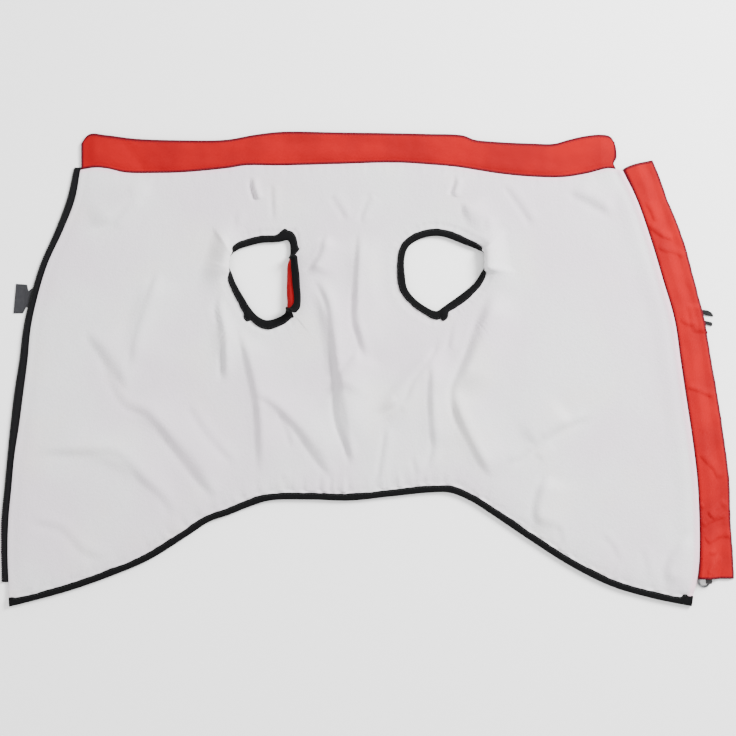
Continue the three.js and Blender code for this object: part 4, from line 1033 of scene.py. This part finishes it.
def zip_tape(name, seam_x, free_x, rise, start, end):
    """Half a zip: the woven tape, and along its free edge a coil that follows the helix
    x = a cos(q), z = b sin(q), y = p q / (2 pi)."""
    y = np.linspace(start, end, 260)
    inner, outer = seam_x(y), free_x(y)
    out = np.sign(outer - inner)[:, None]
    run = np.abs(outer - inner)[:, None]
    t = np.linspace(0, 1, 14)[None]
    reach = (run - 0.9) * t
    share = smooth((reach - SEAM_ALLOWANCE + 1) / 2.5)
    z = TAPE_LEVEL + TAPE_WALL / 2 + share * rise(y)[:, None]
    middle = np.stack([inner[:, None] + out * reach, np.broadcast_to(y[:, None], reach.shape), z], -1)
    tape = cloth_strip(f"{name}_tape", middle, TAPE_WALL, edge=run - reach)
    turns = int((end - start) / COIL_PITCH)
    per_turn, sides = 14, 5
    q = np.arange(turns * per_turn) * 2 * np.pi / per_turn
    y = start + COIL_PITCH * q / (2 * np.pi)
    direction = np.sign(free_x(y) - seam_x(y))
    a, b = COIL_WIDTH / 2 - COIL_THREAD, COIL_HEIGHT / 2 - COIL_THREAD
    squarer = 1 + 0.12 * np.cos(2 * q)
    x = free_x(y) - direction * (COIL_WIDTH / 2 - a * np.cos(q) * squarer)
    z = TAPE_LEVEL + COIL_HEIGHT / 2 + rise(y) + b * np.sin(q) * squarer
    line = np.stack([x, y, z], -1)
    tangent = unit(np.gradient(line, axis=0))
    side = unit(np.cross(tangent, [0, 1.0, 0]))
    other = np.cross(tangent, side)
    turn = np.linspace(0, 2 * np.pi, sides, endpoint=False)
    around = np.cos(turn)[None, :, None] * side[:, None] + np.sin(turn)[None, :, None] * other[:, None]
    points = line[:, None] + COIL_THREAD * around
    faces = tube_faces(len(line), sides, 1).tolist()
    faces += [list(range(sides))[::-1], [(len(line) - 1) * sides + k for k in range(sides)]]
    coil = mesh_object(f"{name}_coil", points.reshape(-1, 3), faces)
    return tape, coil


def slider_rise(y):
    """Rise of the right zip to the slider, which stands on its own bridge."""
    return SLIDER_RISE * (1 - smooth((y - SLIDER[1] - 6) / 34))


def zip_guard():
    """Zip guard: a double strip over the right zip that comes down to the floor, with soft swells, a row of
    small puckers at its lower end and a stitched edge all round."""
    y = np.linspace(GUARD_END, GUARD_TOP, 300)[:, None]
    edge, free = right_edge(y), guard_edge(y)
    t = np.concatenate([np.linspace(0, 0.22, 10), np.linspace(0.22, 1, 36)[1:]])[None]
    beyond = -SEAM_ALLOWANCE + (free - edge + SEAM_ALLOWANCE) * t
    ridge = mix(COIL_TOP, SLIDER_TOP, 1 - smooth((y - SLIDER[1] - 6) / 40))
    over = smooth((beyond - 0.3) / 3.2)
    high = over * (1 - smooth((beyond - 12) / 14))
    share = beyond / (free - edge)
    tabs_from, tabs_to = GUARD_OVER_TABS
    tabs = (TAB_END_WALL + GAP) * smooth((y - tabs_from) / 6) * smooth((tabs_to - y) / 6)
    tabs = tabs * smooth((share - 0.45) / 0.2)
    from_end = y - GUARD_END
    soft = 0.6 * (1 + ripple(y, beyond * 2, 75, 71)) + 0.25 * (1 + ripple(y, beyond * 1.5, 24, 72))
    swell = over * smooth((free - edge - beyond) / 5) * soft
    pleats = 0.9 * bump_at(from_end, 0, GUARD_PLEATS) * (1 + wander(beyond, 6.5, 73)) * bump_at(beyond, 9, 9)
    z = GUARD_LEVEL * (1 - over) + ridge * high + tabs + swell + pleats * over + FLAP_WALL / 2
    slant = GUARD_SLANT * smooth((y - GUARD_SLANT_FROM) / 36) * np.sqrt(clamp(share))
    free_side = smooth((share - 0.8) / 0.2)
    x = edge + beyond + (0.25 * wander(y + 0 * beyond, 21, 74) + 1.2 * bump_at(y, GUARD_NUB, 1.8)) * free_side
    creases = crease_height(np.stack([x, y + slant], -1), GUARD_CREASES)
    z = z + (creases + 0.9 * np.abs(creases)) * smooth((share - 0.02) / 0.1) * smooth((1 - share) / 0.08)
    middle = np.stack([x, y + slant, z], -1)
    # Distance to the guard's edges, which the red material darkens as painted shade
    to_edge = np.minimum(free - edge - beyond, np.minimum(from_end, GUARD_TOP - y))
    to_edge = np.minimum(to_edge, np.maximum(0, np.abs(beyond) - 0.2) + 0.3)
    strip = cloth_strip("guard", middle, FLAP_WALL, edge=to_edge + 0.3)
    inner_line = np.argmin(np.abs(beyond - 2), axis=1)
    rows = np.arange(len(y))
    lines = {
        "outer": middle[2:-2, -3],
        "inner": middle[rows, inner_line][2:-2],
        "end": middle[1, 12:-3],
        "top": middle[-2, 12:-3],
    }
    top = (0, 0, FLAP_WALL / 2)
    sewn = [
        stitches(f"guard_{key}_stitches", line + top, upright(len(line)))
        for key, line in lines.items()
    ]
    return strip, sewn


def pull_ring():
    """Torus through the slider's bridge, its far side on the floor: (R + r cos b)(cos a, sin a), r sin b."""
    middle = (RING_OUTER - RING_WIRE) / 2
    tilt = np.arcsin((RING_PIVOT[2] - RING_WIRE / 2 - 0.05) / (2 * middle))
    a = np.linspace(0, 2 * np.pi, 96, endpoint=False)[:, None]
    b = np.linspace(0, 2 * np.pi, 20, endpoint=False)[None]
    radius = middle + RING_WIRE / 2 * np.cos(b)
    x, y = radius * np.cos(a), radius * np.sin(a) - middle
    z = RING_WIRE / 2 * np.sin(b) + 0 * a
    lean = np.radians(-RING_LEAN)
    x, y = x * np.cos(lean) - y * np.sin(lean), x * np.sin(lean) + y * np.cos(lean)
    y, z = y * np.cos(tilt) - z * np.sin(tilt), y * np.sin(tilt) + z * np.cos(tilt)
    points = np.stack([x, y, z], -1).reshape(-1, 3) + RING_PIVOT
    return mesh_object("ring_pull", points, tube_faces(96, 20, 1, wrap=True).tolist())


RIB_PITCH = 1.3
RIB_HEIGHT = 0.05


def webbing(name, root_x, tip_x, top, bottom, wall):
    """Flat webbing from root_x to tip_x whose edges are top(t) and bottom(t), t from 0 at the root to 1 at
    the tip. Fine ribs h sin(2 pi x / p) run across it."""
    t = np.linspace(0, 1, 90)[:, None]
    s = np.concatenate([[0, 0.015, 0.05], np.linspace(0.1, 0.9, 22), [0.95, 0.985, 1]])[None]
    x = mix(root_x, tip_x, t) + 0 * s
    y = mix(bottom(t), top(t), s)
    z = wall / 2 + 0.02 + RIB_HEIGHT * np.sin(2 * np.pi * (x - root_x) / RIB_PITCH)
    return cloth_strip(name, np.stack([x, y, z], -1), wall * 0.92, edge=np.minimum(s, 1 - s) * 20 + 0 * t)


def side_tab():
    """Grey webbing tab under the left zip tape: a narrow neck that flares to a slanted outer end."""
    height = TAB["top"] - TAB["bottom"]
    root = float(left_edge(np.array(TAB["bottom"] + height / 2))) + SHELL_INSET - GAP
    outer = root - TAB["depth"] - SEAM_ALLOWANCE

    def top(t):
        return np.interp(t, *zip(*TAB["over"]))

    def bottom(t):
        return np.interp(t, *zip(*TAB["under"]))

    tab = webbing("tab_grey", root, outer, top, bottom, TAB["wall"])
    mesh = tab.data
    points = np.empty(len(mesh.vertices) * 3)
    mesh.vertices.foreach_get("co", points)
    points = points.reshape(-1, 3)
    x, y, _ = (points / METRE + CENTRE).T
    share = clamp((y - TAB["bottom"]) / height) * smooth((root - x - TAB["neck"]) / 12)
    points[:, 0] += TAB["lean"] * share * METRE
    mesh.vertices.foreach_set("co", points.ravel())
    return tab


def tab_end(row):
    """Narrow black webbing end beyond the zip guard's free edge, drawn in to a blunt tip."""
    edge = float(guard_edge(np.array(row["y"])))
    root, tip = edge - TAB_END_UNDER, edge + row["show"]
    edge_share = TAB_END_UNDER / (TAB_END_UNDER + row["show"])

    def side(name):
        return lambda t: row["y"] + np.interp((t - edge_share) / (1 - edge_share), *zip(*row[name]))

    return webbing(f"webbing_{row['name']}", root, tip, side("over"), side("under"), TAB_END_WALL)


class Socket:
    """One output of a shader node. Its operators add Math nodes."""

    def __init__(self, shader, output):
        self.shader = shader
        self.output = output

    def math(self, operation, *values):
        return self.shader.node("ShaderNodeMath", dict(enumerate(values)), operation=operation)

    def __add__(self, other):
        return self.math("ADD", self, other)

    def __mul__(self, other):
        return self.math("MULTIPLY", self, other)

    def sine(self, pitch):
        """sin(2 pi v / pitch)."""
        turn = self * (2 * np.pi / pitch)
        return turn.math("SINE", turn)


class Shader:
    """A material with one Principled shader, and the nodes that feed it."""

    def __init__(self, name, **uniform):
        self.material = bpy.data.materials.new(name)
        self.material.use_nodes = True
        self.tree = self.material.node_tree
        self.tree.nodes.clear()
        self.surface = self.tree.nodes.new("ShaderNodeBsdfPrincipled")
        output = self.tree.nodes.new("ShaderNodeOutputMaterial")
        self.tree.links.new(self.surface.outputs[0], output.inputs[0])
        for key, value in uniform.items():
            self.feed(self.port(key), value)

    def port(self, key):
        """The Principled shader's input for a name such as base_color."""
        return self.surface.inputs[key.replace("_", " ").title().replace("Ior", "IOR")]

    def feed(self, socket, value):
        if isinstance(value, Socket):
            self.tree.links.new(value.output, socket)
        else:
            socket.default_value = value

    def node(self, kind, inputs=None, output=0, **settings):
        """Adds any node, with its settings and its inputs by number or name, and gives one of its outputs."""
        node = self.tree.nodes.new(kind)
        for key, value in settings.items():
            setattr(node, key, value)
        for key, value in (inputs or {}).items():
            self.feed(node.inputs[key], value)
        return Socket(self, node.outputs[output])

    def place(self, scale=(1, 1, 1)):
        """Object coordinates in metres, stretched by scale."""
        here = self.node("ShaderNodeTexCoord", output="Object")
        return self.node("ShaderNodeVectorMath", {0: here, 1: scale}, operation="MULTIPLY")

    def uv(self):
        return self.node("ShaderNodeUVMap", uv_map="cloth")

    def edge(self):
        """Distance in metres from the piece's edge."""
        return self.node("ShaderNodeAttribute", output="Fac", attribute_name="edge")

    def noise(self, vector, scale, detail=3.0, roughness=0.55):
        return self.node("ShaderNodeTexNoise", {
            "Vector": vector, "Scale": scale, "Detail": detail, "Roughness": roughness,
        })

    def band(self, value, low, high, start=0.0, end=1.0):
        return self.node("ShaderNodeMapRange", {
            "Value": value, "From Min": low, "From Max": high, "To Min": start, "To Max": end,
        }, interpolation_type="SMOOTHSTEP")

    def blend(self, share, first, second):
        """Mix of two colours."""
        return self.node("ShaderNodeMix", {0: share, 6: first, 7: second}, output=2, data_type="RGBA")

    def axes(self, vector):
        split = self.node("ShaderNodeSeparateXYZ", {0: vector})
        return [Socket(self, output) for output in split.output.node.outputs]

    def bump(self, height, distance, strength=1.0, normal=None):
        inputs = {"Height": height, "Distance": distance, "Strength": strength}
        if normal is not None:
            inputs["Normal"] = normal
        return self.node("ShaderNodeBump", inputs)

    def finish(self, **varying):
        for key, value in varying.items():
            self.feed(self.port(key), value)
        return self.material


def srgb(red, green, blue):
    """Linear colour of an sRGB one given from 0 to 255."""
    share = np.array([red, green, blue]) / 255
    linear = np.where(share <= 0.04045, share / 12.92, ((share + 0.055) / 1.055) ** 2.4)
    return (*(float(c) for c in linear), 1.0)


THREAD_PITCH = 0.0007


def threads(shader, vector):
    """Plain weave: sin(2 pi x / p) sin(2 pi y / p), so that threads go over and under in turn."""
    x, y, _ = shader.axes(vector)
    return x.sine(THREAD_PITCH) * y.sine(THREAD_PITCH)


def fleece_material():
    shader = Shader("fleece", sheen_weight=0.35, sheen_roughness=0.6, roughness=1.0, specular_ior_level=0.1)
    here = shader.place()
    tint = shader.band(shader.noise(here, 7.0, 2.0), 0.38, 0.62)
    warm = shader.band(shader.noise(here, 13.0, 2.0), 0.5, 0.72)
    tuft = shader.noise(here, 420.0, 3.0, 0.6)
    nap = shader.noise(here, 1500.0, 2.0, 0.6)
    colour = shader.blend(tint, srgb(212, 203, 211), srgb(216, 215, 217))
    colour = shader.blend(warm * 0.3, colour, srgb(221, 213, 205))
    colour = shader.blend(shader.band(tuft, 0.35, 0.7) * 0.3, colour, srgb(202, 196, 201))
    # Painted reflection: within a few millimetres of the red guard and collar the fleece turns pink, standing
    # in for light bounced off the red cloth
    colour = shader.blend(shader.band(shader.edge(), 0.003, 0.009, 0.75, 0.0), colour, srgb(226, 184, 200))
    rough = shader.bump(tuft, 0.0007, 0.6)
    fine = shader.bump(nap, 0.0003, 0.5, rough)
    return shader.finish(base_color=colour, normal=fine)


def red_material():
    shader = Shader("shell_cloth", specular_ior_level=0.1)
    here = shader.place()
    weave = threads(shader, here)
    patch = shader.noise(here, 16.0, 2.0)
    crumple = shader.noise(shader.place((1, 1.7, 1)), 42.0, 3.0)
    colour = shader.blend(shader.band(patch, 0.35, 0.65), srgb(142, 1, 8), srgb(157, 3, 10))
    colour = shader.blend(shader.band(weave, -1, 1, 0.0, 0.1), colour, srgb(104, 1, 8))
    # Painted shade: a maroon band along every edge of the collar and guard darkens the red where the cloth
    # rounds away from the light
    colour = shader.blend(shader.band(shader.edge(), 0.0018, 0.0036, 0.92, 0.0), colour, srgb(66, 4, 20))
    roughness = shader.band(patch, 0.3, 0.7, 0.62, 0.74)
    soft = shader.bump(crumple, 0.0012, 0.35)
    fine = shader.bump(weave, 0.00012, 0.6, soft)
    return shader.finish(base_color=colour, roughness=roughness, normal=fine)


def shell_material():
    shader = Shader("shell_cloth_outer", specular_ior_level=0.1)
    here = shader.place()
    weave = threads(shader, here)
    patch = shader.noise(here, 16.0, 2.0)
    colour = shader.blend(shader.band(patch, 0.35, 0.65), srgb(136, 2, 12), srgb(150, 5, 13))
    colour = shader.blend(shader.band(weave, -1, 1, 0.0, 0.12), colour, srgb(100, 2, 9))
    fine = shader.bump(weave, 0.00012, 0.6)
    return shader.finish(base_color=colour, roughness=shader.band(patch, 0.3, 0.7, 0.62, 0.74), normal=fine)


def binding_material():
    shader = Shader("binding", specular_ior_level=0.1)
    along, across, _ = shader.axes(shader.uv())
    ribs = along.sine(0.0011)
    lines = across.sine(0.0008)
    patch = shader.noise(shader.place(), 60.0, 3.0)
    colour = shader.blend(shader.band(patch, 0.35, 0.7), srgb(4, 4, 5), srgb(9, 9, 10))
    colour = shader.blend(shader.band(ribs, 0, 1, 0.0, 0.3), colour, srgb(16, 16, 18))
    normal = shader.bump(ribs * 0.7 + lines * 0.3, 0.00018, 0.6)
    return shader.finish(base_color=colour, roughness=shader.band(patch, 0.3, 0.7, 0.75, 0.9), normal=normal)


def tape_material():
    shader = Shader("zip_tape", specular_ior_level=0.1)
    along, across, _ = shader.axes(shader.uv())
    slant = along * (2 * np.pi / 0.0012) + across * (2 * np.pi / 0.0016)
    twill = slant.math("SINE", slant)
    colour = shader.blend(shader.band(shader.edge(), 0.0026, 0.0034), srgb(6, 6, 7), srgb(18, 18, 20))
    colour = shader.blend(shader.band(twill, -1, 1, 0.0, 0.35), colour, srgb(7, 7, 8))
    return shader.finish(base_color=colour, roughness=shader.band(twill, -1, 1, 0.65, 0.8),
                         normal=shader.bump(twill, 0.00015, 0.6))


def webbing_material(name, dark, light):
    shader = Shader(name, specular_ior_level=0.3)
    along, across, _ = shader.axes(shader.uv())
    ribs = along.sine(0.0013)
    cords = across.sine(0.0009)
    patch = shader.noise(shader.place(), 160.0, 2.0)
    colour = shader.blend(shader.band(ribs * cords, -0.5, 0.8), dark, light)
    colour = shader.blend(shader.band(shader.edge(), 0.0, 0.0012, 0.7, 0.0), colour, srgb(30, 30, 33))
    return shader.finish(base_color=colour, roughness=shader.band(patch, 0.3, 0.7, 0.7, 0.85),
                         normal=shader.bump(ribs * cords, 0.0002, 0.7))


def thread_material(name, dark, light):
    shader = Shader(name, specular_ior_level=0.4)
    twist = shader.noise(shader.place(), 2600.0, 1.0)
    colour = shader.blend(shader.band(twist, 0.35, 0.65), dark, light)
    return shader.finish(base_color=colour, roughness=shader.band(twist, 0.3, 0.7, 0.5, 0.7),
                         normal=shader.bump(twist, 0.00008, 0.5))


def metal_material():
    shader = Shader("zip_metal", specular_ior_level=0.5)
    brushed = shader.noise(shader.place((1, 8, 1)), 900.0, 3.0)
    worn = shader.noise(shader.place(), 220.0, 2.0)
    colour = shader.blend(shader.band(worn, 0.35, 0.7), srgb(100, 102, 104), srgb(140, 142, 144))
    return shader.finish(base_color=colour, metallic=shader.band(worn, 0.2, 0.8, 0.85, 1.0),
                         roughness=shader.band(brushed, 0.3, 0.7, 0.3, 0.48),
                         normal=shader.bump(brushed, 0.00003, 0.4))


def plastic_material(name, dark, light):
    shader = Shader(name, specular_ior_level=0.5)
    grain = shader.noise(shader.place(), 1800.0, 2.0)
    colour = shader.blend(shader.band(grain, 0.35, 0.7), dark, light)
    return shader.finish(base_color=colour, roughness=shader.band(grain, 0.3, 0.7, 0.32, 0.5),
                         normal=shader.bump(grain, 0.00003, 0.4))


def floor_material():
    shader = Shader("floor", specular_ior_level=0.1)
    grain = shader.noise(shader.place(), 3.0, 2.0)
    colour = shader.blend(grain, srgb(250, 250, 250), srgb(252, 252, 252))
    return shader.finish(base_color=colour, roughness=shader.band(grain, 0, 1, 0.85, 0.95))


fleece = fleece_material()
red = red_material()
red_outer = shell_material()
black_binding = binding_material()
tape_cloth = tape_material()
grey_webbing = webbing_material("grey_webbing", srgb(34, 34, 37), srgb(50, 50, 54))
black_webbing = webbing_material("black_webbing", srgb(8, 8, 9), srgb(20, 20, 22))
black_thread = thread_material("black_thread", srgb(8, 8, 9), srgb(20, 20, 23))
red_thread = thread_material("red_thread", srgb(88, 2, 8), srgb(126, 3, 8))
steel = metal_material()
coil_plastic = plastic_material("zip_coil", srgb(8, 8, 9), srgb(16, 16, 18))
box_plastic = plastic_material("zip_plastic", srgb(14, 12, 13), srgb(28, 22, 23))


def dress(obj, material, body="coat", nodes=()):
    """Gives a piece its material and slot, lets it ride on a body and stand for CAD nodes."""
    obj.data.materials.clear()
    obj.data.materials.append(material)
    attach(obj, body)
    if nodes:
        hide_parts(*nodes)
    return obj


lining_piece = dress(lining(), fleece, nodes=["lining_body"])
shell_piece = dress(outer_shell(), red_outer, nodes=["shell_body"])

collar_piece, collar_rows = collar()
dress(collar_piece, red, nodes=["collar_band"])
hem_piece, hem_row = hem_binding()
dress(hem_piece, black_binding, nodes=["hem_binding"])
guard_piece, guard_rows = zip_guard()
dress(guard_piece, red, nodes=["zip_guard"])
for row in [*collar_rows, *guard_rows]:
    dress(row, red_thread)
dress(hem_row, black_thread)

for leg_hole in (LEFT_HOLE, RIGHT_HOLE):
    leg_piece, leg_row = leg_binding(leg_hole)
    dress(leg_piece, black_binding, nodes=[f"leg_binding_{leg_hole['name']}"])
    dress(leg_row, black_thread)

left_tape, left_coil = zip_tape(
    "zip_left",
    lambda y: left_edge(y) + SEAM_ALLOWANCE,
    lambda y: left_edge(y) - column_at(LEFT_FRONT, BESIDE_COLUMN, y) - TAPE_SELVEDGE,
    lambda y: 0 * y,
    ZIP_END,
    ZIP_TOP + 3.6,
)
right_tape, right_coil = zip_tape(
    "zip_right",
    lambda y: right_edge(y) - SEAM_ALLOWANCE,
    lambda y: right_edge(y) + RIGHT_TAPE,
    slider_rise,
    GUARD_END + 1.5,
    ZIP_TOP - 3,
)
dress(left_tape, tape_cloth, nodes=["zip_left"])
dress(right_tape, tape_cloth, nodes=["zip_right"])
dress(left_coil, coil_plastic)
dress(right_coil, coil_plastic)

ring_piece = dress(pull_ring(), steel, body="ring", nodes=["pull_ring"])
tab_piece = dress(side_tab(), grey_webbing, nodes=["side_tab"])
end_pieces = [
    dress(tab_end(row), black_webbing, nodes=[row["name"]]) for row in TAB_ENDS
]

for node_name, node_material, node_slot in (
    ("slider", steel, "zip_metal"),
    ("retainer_box", box_plastic, "zip_plastic"),
):
    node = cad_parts[node_name]
    node.data.materials.clear()
    node.data.materials.append(node_material)
    bevel = node.modifiers.new("worn_edges", "BEVEL")
    bevel.width = 0.00018
    bevel.segments = 2
    bevel.limit_method = "ANGLE"

FLOOR_SIZE = 6.0
floor_mesh = bpy.data.meshes.new("floor")
corner = FLOOR_SIZE / 2
floor_points = [(-corner, -corner, 0), (corner, -corner, 0), (corner, corner, 0), (-corner, corner, 0)]
floor_mesh.from_pydata(floor_points, [], [(0, 1, 2, 3)])
floor = bpy.data.objects.new("floor", floor_mesh)
floor.data.materials.append(floor_material())
bpy.context.scene.collection.objects.link(floor)


def area_light(name, location, size, energy):
    """A square softbox that faces the coat's middle."""
    data = bpy.data.lights.new(name, "AREA")
    data.size = size
    data.energy = energy
    light = bpy.data.objects.new(name, data)
    light.location = location
    towards = -np.array(location) / np.linalg.norm(location)
    light.rotation_euler = (np.arccos(-towards[2]), 0, np.arctan2(-towards[0], towards[1]))
    bpy.context.scene.collection.objects.link(light)


area_light("key", (1.25, 0.95, 1.15), 0.7, 105)
area_light("fill", (-1.3, -0.6, 1.7), 1.6, 16)

world = bpy.data.worlds.new("studio")
world.use_nodes = True
world.node_tree.nodes["Background"].inputs["Color"].default_value = (1, 1, 1, 1)
world.node_tree.nodes["Background"].inputs["Strength"].default_value = 1.3
bpy.context.scene.world = world
